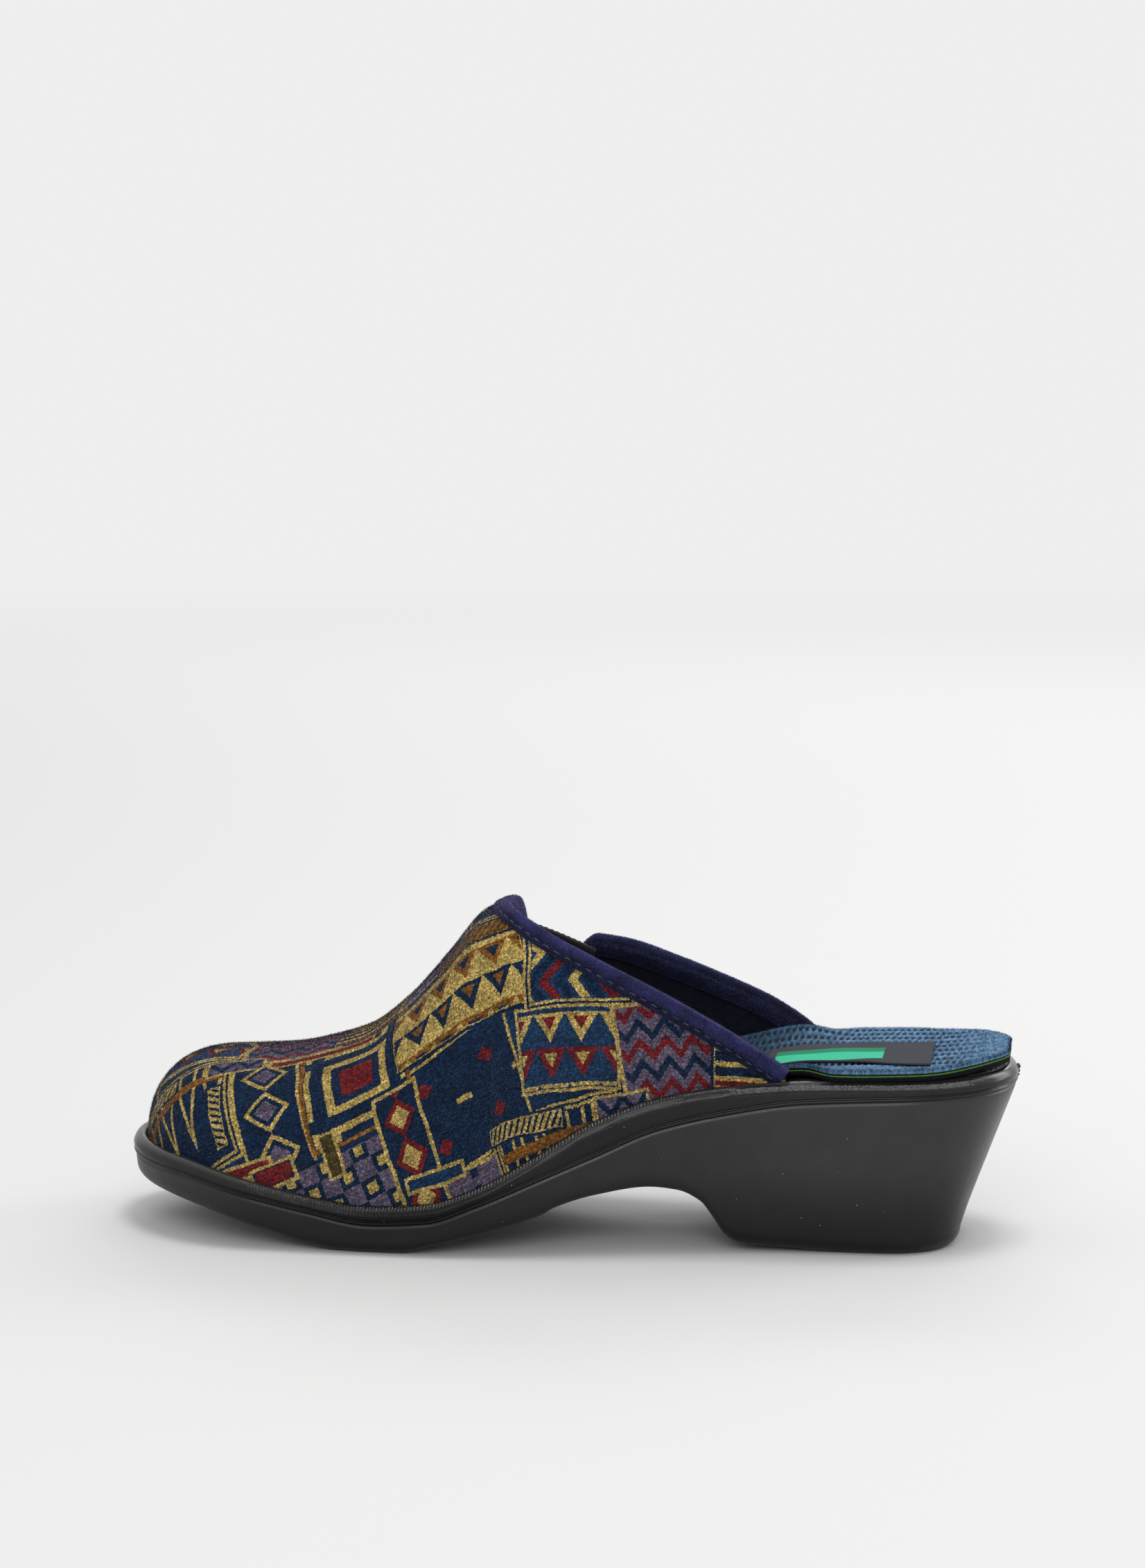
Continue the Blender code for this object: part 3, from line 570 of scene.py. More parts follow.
class Finish:
    """A Principled material under construction, with helpers that add its nodes."""

    def __init__(self, name, **values):
        self.material = bpy.data.materials.new(name)
        self.material.use_nodes = True
        self.tree = self.material.node_tree
        self.shader = self.tree.nodes["Principled BSDF"]
        for socket, value in values.items():
            self.set(socket.replace("_", " "), value)

    def set(self, socket, value):
        feed(self.tree, value, self.shader.inputs[socket])

    def node(self, kind, values, **settings):
        return add_node(self.tree, kind, values, **settings)

    def chart(self, name):
        """The coordinates of a chart, as a vector socket."""
        return self.node("Attribute", {}, attribute_name=name).outputs["Vector"]

    def place(self):
        """The place in the part's frame in millimetres, as a vector socket."""
        return self.scaled(self.node("TexCoord", {}).outputs["Object"], (1 / MM, 1 / MM, 1 / MM))

    def vector(self, operation, first, second):
        return self.node("VectorMath", {0: first, 1: second}, operation=operation).outputs["Vector"]

    def scaled(self, vector, factors):
        return self.vector("MULTIPLY", vector, factors)

    def parts(self, vector):
        """The three coordinates of a vector socket, as fields."""
        return tuple(Field(self.tree, socket) for socket in self.node("SeparateXYZ", {0: vector}).outputs)

    def noise_node(self, vector, size, detail=2.0, roughness=0.5):
        values = {"Vector": vector, "Scale": 1.0 / size, "Detail": detail, "Roughness": roughness}
        return self.node("TexNoise", values)

    def noise(self, *values):
        """Soft noise with features of about that size, from 0 to 1."""
        return Field(self.tree, self.noise_node(*values).outputs["Fac"])

    def cells(self, vector, size, randomness=1.0):
        """Cells of that size: the distance from a cell's middle, and a random number for each cell."""
        cell = self.node("TexVoronoi", {"Vector": vector, "Scale": 1.0 / size, "Randomness": randomness})
        chance = self.node("SeparateColor", {0: cell.outputs["Color"]})
        return Field(self.tree, cell.outputs["Distance"]), Field(self.tree, chance.outputs[0])

    def specks(self, vector, size, rarity):
        """Specks in some of the cells of that size; the higher the rarity, the fewer of them."""
        largest = 0.07
        distance, chance = self.cells(vector, size)
        return (distance < spread(chance, rarity, 1.0, 0.0, largest)) * (chance > rarity)

    def jittered(self, vector, size, amount):
        """The coordinates moved about by up to an amount."""
        noise = self.noise_node(vector, size, 1.0)
        shift = self.vector("SUBTRACT", noise.outputs["Color"], (0.5, 0.5, 0.5))
        return self.vector("ADD", vector, self.scaled(shift, (2 * amount, 2 * amount, 0.0)))

    def mixed(self, first, second, share, blend="MIX"):
        """Two colours, mixed by a field; a colour is a socket or three numbers."""
        values = {0: share, 6: first, 7: second}
        return self.node("Mix", values, data_type="RGBA", blend_type=blend).outputs[2]

    def dimmed(self, colour, amount):
        """A colour multiplied by a field."""
        return self.mixed(colour, amount, 1.0, "MULTIPLY")

    def colour(self, colour):
        self.set("Base Color", colour)

    def bump(self, height, depth, strength):
        """Relief with a depth in millimetres, on top of any earlier relief."""
        values = {"Strength": strength, "Distance": depth * MM, "Height": height}
        earlier = self.shader.inputs["Normal"].links
        if earlier:
            values["Normal"] = earlier[0].from_socket
        self.set("Normal", self.node("Bump", values).outputs["Normal"])


# The print: a repeat of patches, each with a common geometric motif
NAVY = (0.0065, 0.022, 0.060)
BLUE = (0.012, 0.042, 0.106)
YELLOW = (0.505, 0.365, 0.112)
RED = (0.180, 0.014, 0.017)
MAUVE = (0.135, 0.106, 0.165)
OCHRE = (0.245, 0.100, 0.017)
OLIVE = (0.072, 0.053, 0.016)


class Ink:
    """A print under way: patches of colour laid over each other."""

    def __init__(self, finish, ground):
        self.finish = finish
        self.colour = ground

    def lay(self, mask, colour):
        self.colour = self.finish.mixed(self.colour, colour, mask)

    def lay_bands(self, mask, run, pitch, half, inks):
        """Bands along a run, one in each pitch and two halves wide."""
        run = wrapped(run, pitch * len(inks))
        for row, colour in enumerate(inks):
            self.lay(mask * near(run, pitch * (row + 0.5), half), colour)

    def lay_nested(self, mask, away, widest, step, inks):
        """Shapes inside each other, each a step smaller."""
        for row, colour in enumerate(inks):
            self.lay(mask * (away < widest - step * row), colour)


# Motifs: p runs along the patch and q across it, from its middle
def stripes(ink, mask, p, q, inks):
    """Bars along the patch."""
    ink.lay_bands(mask, q + 1.2, 4.2, 1.35, inks)


def zigzags(ink, mask, p, q, inks):
    """Zigzag lines that run along the patch."""
    ink.lay_bands(mask, q - fold(p, 3.9) * 1.15, 5.6, 1.3, inks)


def chevrons(ink, mask, p, q, inks):
    """Nested arrows along the patch."""
    ink.lay_bands(mask, p + fold(q, 9.0) * 0.9, 4.3, 1.5, inks)


def diamonds(ink, mask, p, q, inks):
    """Nested diamonds side by side."""
    ink.lay_nested(mask, fold(p, 7.2) + abs(q), 6.9, 1.7, inks)


def steps(ink, mask, p, q, inks):
    """Stepped pyramids and their mirror images."""
    half, riser, lead = 14.0, 2.3, 1.1
    level = combine("SNAP", fold(p, half) + lead, riser) + combine("SNAP", fold(q, half) + lead, riser)
    ink.lay_nested(mask, level, 13.0, 3.9, inks)


def checks(ink, mask, p, q, inks):
    """Squares set on their corners, each with a smaller one in it."""
    half = 5.6
    ink.lay_nested(mask, fold(p + q, half) + fold(p - q, half), half, half / 2, inks)


def frames(ink, mask, p, q, inks):
    """Squares inside each other."""
    half = 12.0
    ink.lay_nested(mask, combine("MAXIMUM", fold(p, half), fold(q, half)), 10.0, 2.4, inks)


def bow_ties(ink, mask, p, q, inks):
    """Triangles that meet tip to tip."""
    half = 6.0
    ink.lay_nested(mask, abs(q) - (half - fold(p, half)) * 0.9, 0.0, 2.0, inks)


def sawteeth(ink, mask, p, q, inks):
    """Rows of triangles, each with a smaller one in it."""
    pitch, lead, border = 9.6, 0.8, 1.3
    run = wrapped(q + lead, pitch * len(inks))
    tooth = fold(p, 5.0) * 1.65
    for row, colour in enumerate(inks):
        rise = run - (pitch * row + lead)
        ink.lay(mask * (rise > 0.0) * (rise < tooth), colour)
        ink.lay(mask * (rise > border) * (rise < tooth - 3.3), inks[row - 1])


def combs(ink, mask, p, q, inks):
    """Long tapered teeth on a bar."""
    border, thinnest = 1.1, 0.05
    tooth = fold(p, 4.4)
    taper = spread(q, -10.0, 11.0, 3.3, 0.0, eased=False)
    ink.lay(mask * near(tooth, 0.0, taper) * (taper > thinnest), inks[0])
    ink.lay(mask * near(tooth, 0.0, taper - border) * (taper > border + thinnest), inks[1])
    ink.lay(mask * near(q, -10.4, 1.5), inks[-1])


def sprinkles(ink, mask, p, q, inks):
    """A few staggered dashes and lozenges on a plain field."""
    half_p, half_q = 11.0, 8.5
    column, row = fold(p, half_p), fold(q, half_q)
    ink.lay(mask * near(column, 0.0, 2.6) * near(row, 0.0, 0.8), inks[0])
    ink.lay(mask * (abs(column - half_p) * 0.8 + abs(row - half_q) < 2.3), inks[-1])


def hatching(ink, mask, p, q, inks):
    """Short slanting lines."""
    ink.lay(mask * near(fold(p + q * 0.6, 1.15), 0.0, 0.5), inks[0])


REPEAT_U, REPEAT_V, HALF_DROP = 124.0, 100.0, 43.0
SPLIT_FROM, SPLIT_LINE = 2.0, 0.34      # a wide outline has a thin line along its middle
MOTIF_INSET = 0.3
CLOTH_SHIFT = (34.0, 12.0)              # where the cut lies on the printed cloth
PATCHES = table(
    "u v turn half_u half_v line edge ground motif inks",
    (18, 17, -7, 21, 16, 1.0, YELLOW, NAVY, sprinkles, (YELLOW, RED)),
    (56, 13, 5, 15, 11, 0.9, YELLOW, BLUE, sawteeth, (RED, YELLOW)),
    (86, 16, -4, 14, 13, 1.2, YELLOW, MAUVE, zigzags, (NAVY, RED)),
    (113, 14, 4, 13, 14, 0.9, NAVY, YELLOW, stripes, (RED, NAVY, NAVY)),
    (13, 53, 3, 14, 18, 1.1, YELLOW, MAUVE, steps, (NAVY, YELLOW, RED)),
    (48, 47, -5, 21, 17, 2.3, YELLOW, NAVY, combs, (YELLOW, NAVY, OCHRE)),
    (82, 53, 85, 21, 9, 1.0, YELLOW, NAVY, diamonds, (YELLOW, NAVY, MAUVE)),
    (109, 50, -3, 16, 19, 1.2, OCHRE, NAVY, frames, (YELLOW, NAVY, RED)),
    (22, 87, -2, 24, 12, 1.0, NAVY, YELLOW, sawteeth, (NAVY, OCHRE)),
    (62, 86, 4, 14, 14, 2.2, YELLOW, BLUE, chevrons, (NAVY, YELLOW, NAVY, RED)),
    (96, 86, -4, 19, 13, 0.9, NAVY, MAUVE, checks, (NAVY, YELLOW)),
    (121, 82, 89, 20, 6.5, 1.2, YELLOW, NAVY, bow_ties, (RED, YELLOW)),
    (37, 31, 3, 14, 2.4, 0.8, NAVY, YELLOW, hatching, (NAVY,)),
    (97, 32, -2, 15, 1.4, 1.0, YELLOW, RED, None, ()),
    (64, 68, 2, 16, 1.3, 1.0, YELLOW, RED, None, ()),
    (30, 71, 1, 15, 3.0, 0.9, NAVY, OCHRE, hatching, (OLIVE,)),
    (71, 31, -4, 8, 3.2, 0.8, YELLOW, MAUVE, zigzags, (NAVY,)),
    (2, 33, 5, 9, 1.5, 1.0, YELLOW, BLUE, None, ()),
    (66, 50, 87, 10, 2.0, 0.9, NAVY, YELLOW, hatching, (NAVY,)),
    (80, 72, -3, 6, 2.6, 1.0, YELLOW, NAVY, diamonds, (RED,)),
    (98, 72, 88, 6, 1.8, 0.9, YELLOW, OLIVE, None, ()),
)


def printed_cloth(finish, cloth):
    """The whole print as a colour, on coordinates in millimetres."""
    wobbly = finish.jittered(cloth, 13.0, 0.9)
    fuzzy = finish.jittered(wobbly, 0.6, 0.5)
    u, v, _ = finish.parts(finish.vector("ADD", fuzzy, (*CLOTH_SHIFT, 0.0)))
    ink = Ink(finish, finish.mixed(NAVY, BLUE, spread(finish.noise(cloth, 22.0), 0.35, 0.7)))
    for patch in PATCHES:
        run = u + (REPEAT_U / 2 - patch.u)
        column = combine("FLOOR", run / REPEAT_U)
        across = run - column * REPEAT_U - REPEAT_U / 2
        down = wrapped(v + column * HALF_DROP + (REPEAT_V / 2 - patch.v), REPEAT_V) - REPEAT_V / 2
        cosine, sine = math.cos(math.radians(patch.turn)), math.sin(math.radians(patch.turn))
        p = across * cosine + down * sine
        q = down * cosine - across * sine
        depth = combine("MINIMUM", patch.half_u - abs(p), patch.half_v - abs(q))
        ink.lay(depth > -patch.line, patch.edge)
        if patch.line > SPLIT_FROM:
            ink.lay(near(depth, -patch.line / 2, SPLIT_LINE), NAVY)
        ink.lay(depth > 0.0, patch.ground)
        if patch.motif:
            patch.motif(ink, depth > MOTIF_INSET, p, q, patch.inks)
    return ink.colour


def velour(name):
    """Short printed pile in fine rows, with paler tips that are partly a painted sheen, and painted shade
    between its tufts and rows.
    """
    finish = Finish(name, Roughness=0.92, Specular_IOR_Level=0.06, Sheen_Weight=0.17, Sheen_Roughness=0.3,
                    Sheen_Tint=(0.85, 0.88, 1.0))
    cloth = finish.chart("cloth")
    distance, chance = finish.cells(finish.scaled(cloth, (1.0, 1.2, 1.0)), 0.95, 0.75)
    rows = ridged(finish.parts(cloth)[1], 0.6)
    # Painted shade: each tuft is lighter at its top and darker towards its edges, and the gaps between rows
    # are darker.
    tuft = spread(distance, 0.1, 0.75, 1.18, 0.55)
    shade = tuft * varied(chance, 0.8, 1.22, 0.5) * spread(rows, 0.0, 0.5, 0.8, 1.0)
    brushed = varied(finish.noise(cloth, 7.0, 4.0, 0.6), 0.82, 1.18)
    # Paler tips: partly the pile's own colour, partly a painted sheen.
    tips_and_painted_sheen = spread(finish.noise(cloth, 0.7, 2.0), 0.52, 0.8, 0.0, 0.05)
    printed = finish.dimmed(printed_cloth(finish, cloth), shade * brushed)
    finish.colour(finish.mixed(printed, (0.42, 0.42, 0.46), tips_and_painted_sheen))
    finish.bump(tuft + rows * 0.3, 0.4, 0.7)
    return finish.material


def lining(name):
    """Dark brushed knit inside the upper."""
    finish = Finish(name, Roughness=0.95, Specular_IOR_Level=0.1, Sheen_Weight=0.08)
    cloth = finish.chart("cloth")
    distance, chance = finish.cells(cloth, 0.9)
    shade = varied(chance, 0.7, 1.3, 0.5) * varied(finish.noise(cloth, 7.0), 0.8, 1.2)
    finish.colour(finish.dimmed((0.0032, 0.0038, 0.0085), shade))
    finish.bump(distance, 0.25, 0.5)
    return finish.material


def velvet(name):
    """Navy velvet tape with a little lint, with a painted highlight on the outside of its fold and painted
    shade by the seam and inside.
    """
    finish = Finish(name, Roughness=0.85, Specular_IOR_Level=0.08, Sheen_Weight=0.35, Sheen_Roughness=0.35,
                    Sheen_Tint=(0.45, 0.42, 1.0))
    tape = finish.chart("tape")
    grain = finish.noise(finish.scaled(tape, (1.0, 2.0, 1.0)), 0.9, 3.0)
    crush = finish.noise(finish.scaled(tape, (1.0, 1.6, 1.0)), 7.0, 3.0)
    around = finish.parts(tape)[1]
    # Painted light and shade: lighter over the outside of the fold, darker by the seam and on the inside.
    lit = spread(around, 1.0, 5.5) * fading(around, 8.0, 11.5)
    tone = finish.mixed((0.0042, 0.0062, 0.019), (0.0142, 0.0150, 0.056), lit)
    cloth = finish.dimmed(tone, varied(grain, 0.5, 1.55, 0.25) * varied(crush, 0.6, 1.42))
    finish.colour(finish.mixed(cloth, (0.25, 0.25, 0.28), finish.specks(tape, 2.4, 0.8) * 0.7))
    finish.bump(grain, 0.22, 0.5)
    return finish.material


def thread(name):
    """Twisted dark sewing thread."""
    finish = Finish(name, Roughness=0.6, Specular_IOR_Level=0.35)
    twist = finish.noise(finish.scaled(finish.place(), (1.0, 1.0, 2.0)), 0.4)
    finish.colour(finish.dimmed((0.060, 0.062, 0.080), varied(twist, 0.3, 1.4)))
    return finish.material


def elastic(name):
    """Black ribbed elastic."""
    finish = Finish(name, Roughness=0.75, Specular_IOR_Level=0.25)
    grain = finish.noise(finish.scaled(finish.chart("cloth"), (3.0, 1.0, 1.0)), 0.6)
    finish.colour(finish.dimmed((0.010, 0.010, 0.013), varied(grain, 0.6, 1.5, 0.3)))
    finish.bump(grain, 0.15, 0.5)
    return finish.material


def knit(name):
    """Steel-blue looped knit, with painted shade: darker towards the arch, where the upper shades it, and in
    its pits.
    """
    finish = Finish(name, Roughness=0.95, Specular_IOR_Level=0.05, Sheen_Weight=0.05, Sheen_Roughness=0.5,
                    Sheen_Tint=(0.75, 0.88, 1.0))
    plan = finish.chart("plan")
    station, _, pit = finish.parts(plan)
    loops = finish.noise(plan, 0.55, 3.0, 0.6)
    tufts = finish.noise(finish.scaled(plan, (1.0, 0.3, 0.0)), 1.1, 2.0)
    patches = finish.noise(plan, 8.0, 3.0)
    # Painted shade: the knit darkens towards the arch, in the shade of the upper.
    tone = finish.mixed((0.016, 0.036, 0.062), (0.068, 0.139, 0.234), spread(station, 178.0, 228.0))
    shade = varied(loops, 0.55, 1.45, 0.25) * varied(patches, 0.85, 1.15) * varied(tufts, 0.6, 1.45)
    # Painted shade in the pits.
    painted_pit_shade = spread(pit, 0.1, 0.7, 0.0, 0.95)
    finish.colour(finish.mixed(finish.dimmed(tone, shade), (0.005, 0.013, 0.028), painted_pit_shade))
    finish.bump(loops, 0.35, 0.6)
    return finish.material


def board(name):
    """The insole's base: dark felt with a green layer on top."""
    finish = Finish(name, Roughness=0.95, Specular_IOR_Level=0.1)
    depth = finish.parts(finish.chart("plan"))[2]
    fibres = finish.noise(finish.place(), 0.5, 3.0)
    ragged = depth + (fibres - 0.5) * 0.35
    tone = finish.mixed((0.070, 0.150, 0.032), (0.003, 0.004, 0.006), spread(ragged, 0.04, 0.18))
    finish.colour(finish.dimmed(tone, varied(fibres, 0.6, 1.4, 0.25)))
    finish.bump(fibres, 0.3, 0.6)
    return finish.material


def woven_label(name):
    """Charcoal woven tape with a plain green block."""
    finish = Finish(name, Roughness=0.8, Specular_IOR_Level=0.06)
    u, v, _ = finish.parts(finish.chart("weave"))
    twill = ridged(u + v * 1.2, 0.36)
    cross = ridged(v, 0.3)
    ground = finish.dimmed((0.030, 0.0325, 0.0395), varied(twill, 0.75, 1.25, 0.5))
    green = finish.mixed((0.009, 0.185, 0.095), (0.035, 0.400, 0.235), spread(v, 14.0, 15.0))
    weft = finish.dimmed(green, varied(twill, 0.72, 1.12, 0.5) * varied(cross, 0.85, 1.05, 0.5))
    block = near(u, 18.5, 15.5) * near(v, 17.0, 8.5)
    finish.colour(finish.mixed(ground, weft, block))
    finish.bump(twill + cross * 0.5, 0.12, 0.6)
    return finish.material


def foam(name):
    """Black moulded polyurethane: satin on the wall, glossier and wrinkled on the rim, with painted shade
    towards the floor and painted light at the toe and the heel.

    The rim chart holds the way along the rim, the distance below the lip, and that over the band's height.
    """
    finish = Finish(name)
    rim, place = finish.chart("rim"), finish.place()
    along, below, row = finish.parts(rim)
    x, y, z = finish.parts(place)
    mottle = finish.noise(place, 7.0, 4.0)
    grain = finish.noise(place, 0.45, 2.0)
    streaks = finish.noise(finish.scaled(rim, (1.5, 0.06, 0.0)), 1.0, 3.0)
    melted = finish.noise(finish.scaled(rim, (0.7, 1.0, 0.0)), 0.9, 3.0, 0.55)
    wrinkle = finish.noise(finish.scaled(rim, (0.2, 1.0, 0.0)), 1.5, 3.0)
    band = fading(row, 0.94, 1.06)
    crest = fading(below, 0.4, 1.5)
    melted_zone = fading(abs(below - 1.5), 0.5, 1.2) * fading(abs(x - 85.0), 24.0, 38.0) * (y < 0.0)
    dust = finish.specks(place, 2.6, 0.72)
    hole, luck = finish.cells(finish.scaled(rim, (1.0, 0.0, 0.0)), 3.4)
    # Pinholes along the parting line, painted as dark dots: the shade inside them.
    pinholes = (hole < 0.09) * (luck > 0.55) * near(row, 1.0, 0.07) * (x < -30.0)
    # Painted shade and light: the foam's colour darkens towards the floor and is lighter towards the toe and
    # the heel.
    toe_and_heel = spread(x, -90.0, -40.0, 1.6, 0.7) + spread(x, 35.0, 75.0, 0.0, 0.35)
    wear_and_painted_shade = spread(z, 6.0, 30.0, 0.05, 1.5) * toe_and_heel
    tone = finish.dimmed((0.0125, 0.0126, 0.0130), varied(mottle, 0.93, 1.08) * (1.0 - band * 0.3) * wear_and_painted_shade)
    dusty = finish.mixed(tone, (0.20, 0.19, 0.18), dust * 0.8)
    finish.colour(finish.mixed(dusty, (0.002, 0.002, 0.002), pinholes))
    satin = varied(mottle, 0.31, 0.38) + (streaks - 0.5) * 0.14 + dust * 0.3
    finish.set("Roughness", satin - band * 0.13 - melted_zone * 0.10)
    dulled = spread(x, -128.0, -95.0, 0.3, 1.0)
    shine = (0.34 - band * 0.16 + crest * 0.30) * dulled + melted_zone * 0.7
    finish.set("Specular IOR Level", shine)
    beads = (1.0 - ridged(along + grain * 0.5, 0.46)) * fading(below, 0.7, 1.5) * near(x, -25.0, 62.0)
    finish.bump(beads * 0.8 + melted * melted_zone * 6.0 + wrinkle * band * 0.6, 0.32, 0.8)
    finish.bump(grain * 0.5 + streaks * (1.0 - band), 0.08, 0.6)
    return finish.material


def mouldings(name):
    """Rough black scraps."""
    finish = Finish(name, Roughness=0.35)
    grain = finish.noise(finish.place(), 0.5)
    finish.colour(finish.dimmed((0.014, 0.014, 0.015), varied(grain, 0.7, 1.4)))
    finish.bump(grain, 0.3, 0.6)
    return finish.material


# Sole
SOLE_RINGS, SOLE_WEIGHT, FOOTBED_ROWS, TREAD_ROWS = 340, 1.5, 8, 44
WALL_SHARES, EDGE_STEPS = (0.06, 0.2, 0.4, 0.6, 0.8, 0.94), 5
UNDER_BAND = 3.0            # the footbed and the tread lie off the band in the rim chart
GROOVE_PITCH, GROOVE_WIDTH, GROOVE_DEPTH = 6.4, 1.9, 1.0
GROOVE_SLOPE = (0.32, 0.58)             # shares of the groove's width
GROOVE_SWAY, SWAY_SCALE = 2.2, 5.2
TREAD_ZONES = [(40.0, 122.0), (190.0, 238.0)]       # the forefoot's and the heel's pattern
ZONE_FADE, TREAD_MARGIN, MARGIN_FADE = 2, 5.0, 1.5
SCRAP_SHAPE, SCRAP_LUMPS, LUMP_RATE = (0.8, 0.7, 1.0), 0.25, 5.0
FLASH = table(              # scraps of moulding flash at the back of the rim
    "turn drop size",                           # the turn is an angle from the heel
    (0.055, 2.4, 0.85), (0.045, 3.5, 0.65), (0.070, 3.2, 0.5), (0.030, 4.4, 0.45),
)


def softened(rows):
    """Corners cut once, so that a polyline of rings gets round edges."""
    cut = [rows[0]]
    for above, below in zip(rows, rows[1:]):
        cut += [above * 0.75 + below * 0.25, above * 0.25 + below * 0.75]
    return cut + [rows[-1]]


def sole_rings(angle):
    """Rings of the sole's side, from the footbed's edge down to the tread's edge."""
    rim = rim_plan(angle)
    lip, parting = lip_height(rim[:, 0]), parting_height(rim[:, 0])
    edge = inset_plan(angle, np.full(len(angle), LIP_WIDTH))
    rows = [raised(edge, footbed_height(edge[:, 0]))]

    def add(inset, height):
        rows.append(raised(inset_plan(angle, np.broadcast_to(inset, angle.shape)), height))

    for row in RIM_ROWS:
        add(row.inset, (lip if row.from_lip else parting) + row.rise)
    wall_top = parting + RIM_ROWS[-1].rise
    taper = between(SIDE_TAPER, BACK_TAPER, np.maximum(0.0, rim_outward(angle)[:, 0]) ** 2)
    foot = tread_height(rim[:, 0])
    for _ in range(3):
        rounding = np.minimum(TREAD_EDGE, EDGE_SHARE * (wall_top - foot))
        wall_inset = WALL_INSET + taper * (wall_top - foot - rounding)
        foot = tread_height(inset_plan(angle, wall_inset + rounding)[:, 0])
    for share in WALL_SHARES:
        add(between(WALL_INSET, wall_inset, share), between(wall_top, foot + rounding, share))
    for bend in math.pi / 2 * shares(EDGE_STEPS):
        add(wall_inset + rounding * (1 - math.cos(bend)), foot + rounding * (1 - math.sin(bend)))
    return rows


def tread_relief(points, from_edge):
    """How far the tread's grooves go up into the sole."""
    station, side = points[..., 0], points[..., 1]
    wave = station + GROOVE_SWAY * np.sin(side / SWAY_SCALE)
    to_groove = np.abs((wave + GROOVE_PITCH / 2) % GROOVE_PITCH - GROOVE_PITCH / 2)
    groove = 1 - ramp(to_groove, *(GROOVE_WIDTH * share for share in GROOVE_SLOPE))
    zone = sum(ramp(station, start, start + ZONE_FADE) * (1 - ramp(station, end - ZONE_FADE, end))
               for start, end in TREAD_ZONES)
    return GROOVE_DEPTH * groove * zone * ramp(from_edge, TREAD_MARGIN - MARGIN_FADE, TREAD_MARGIN)


def make_sole():
    """The sole: rings down its side, a plain footbed and a grooved tread."""
    half = ring_angles(SOLE_RINGS, SOLE_WEIGHT)
    angle = np.concatenate((half, -half[-2:0:-1]))
    plan, rows = rim_plan(angle), softened(sole_rings(angle))
    top = np.stack(rows)[:, :, 2].max(0)
    band = lip_height(plan[:, 0]) - parting_height(plan[:, 0])
    lengths = lengths_along(plan)
    charts = [stacked(lengths, top - row[:, 2], (top - row[:, 2]) / band) for row in rows]
    count = len(angle)
    here = np.arange(count)
    after = np.roll(here, -1)
    faces = [np.stack((r + here, r + count + here, r + count + after, r + after), axis=1)
             for r in range(0, (len(rows) - 1) * count, count)]
    points = list(rows)
    for ring, across in ((rows[0], FOOTBED_ROWS), (rows[-1], TREAD_ROWS)):
        left, right = ring[:SOLE_RINGS + 1], np.concatenate((ring[:1], ring[:SOLE_RINGS - 1:-1]))
        share = shares(across)[None, :, None]
        cap = left[:, None] * (1 - share) + right[:, None] * share
        if ring is rows[-1]:
            wide = np.linalg.norm(left - right, axis=1)[:, None]
            cap[..., 2] += tread_relief(cap, wide * np.minimum(share, 1 - share)[..., 0])
        faces.append(grid_faces(SOLE_RINGS + 1, across + 1, sum(map(len, points))))
        points.append(listed(cap))
        charts.append(raised(points[-1], UNDER_BAND))
    make_piece("sole_foam", np.concatenate(points), faces, [foam("sole_foam")],
               ("rim", np.concatenate(charts)), ["sole"])


def make_flash():
    """Lumpy scraps that stick to the back of the rim."""
    points, blocks, count = [], [], 0
    for scrap in FLASH:
        rim = rim_plan(np.array([math.pi - scrap.turn]))[0]
        ball = bmesh.new()
        bmesh.ops.create_icosphere(ball, subdivisions=2, radius=scrap.size)
        ball.verts.index_update()
        shape = np.array([vert.co for vert in ball.verts]) * SCRAP_SHAPE
        shape *= 1 + SCRAP_LUMPS * np.sin(shape * LUMP_RATE + scrap.drop).sum(1, keepdims=True) / 3
        blocks.append(np.array([[vert.index + count for vert in face.verts] for face in ball.faces]))
        points.append(shape + np.array((*rim, lip_height(rim[0]) - scrap.drop)))
        count += len(shape)
        ball.free()
    make_piece("sole_flash", np.concatenate(points), blocks, [mouldings("sole_flash")])


# Upper
FRONT_STEPS, BACK_STEPS, SIDE_STEPS, CROWDING = 96, 66, 66, 1.5
NAP = Fibres(110000, 0.45, 0.95, 0.075, 0.75, 0.7)
FLAT_STRIDE, FLAT_ROWS, FLAT_ROUNDS, FLAT_PACE = 3, 18, 700, 0.24
HELD = 0.2                  # share of a side over which creases fade, at its foot and at the collar
SKIRT_REACH = 0.8           # how far the cloth's chart goes on below the foot, in steps of the mesh
CREASE_FALL = 1.6
CREASES = table(            # soft troughs and ridges, placed on the cloth
    "u v turn length width depth",
    (78, 22, 66, 30, 7, 0.5), (91, 38, 74, 26, 6, -0.35), (100, 52, 68, 24, 6, 0.4),
    (164, 78, 24, 26, 7, 0.35), (80, -24, -66, 30, 7, 0.5), (97, -48, -72, 26, 7, 0.35),
    (166, -76, -24, 26, 7, 0.4), (30, 30, 20, 18, 8, 0.3),
)


def crease_depth(cloth):
    """How far the creases press the cloth in, at flat coordinates."""
    depth = np.zeros(cloth.shape[:-1])
    for crease in CREASES:
        turn = math.radians(crease.turn)
        u, v = cloth[..., 0] - crease.u, cloth[..., 1] - crease.v
        along = (u * math.cos(turn) + v * math.sin(turn)) / crease.length * CREASE_FALL
        across = (v * math.cos(turn) - u * math.sin(turn)) / crease.width * CREASE_FALL
        depth += crease.depth * np.exp(-along ** 2 - across ** 2)
    return depth


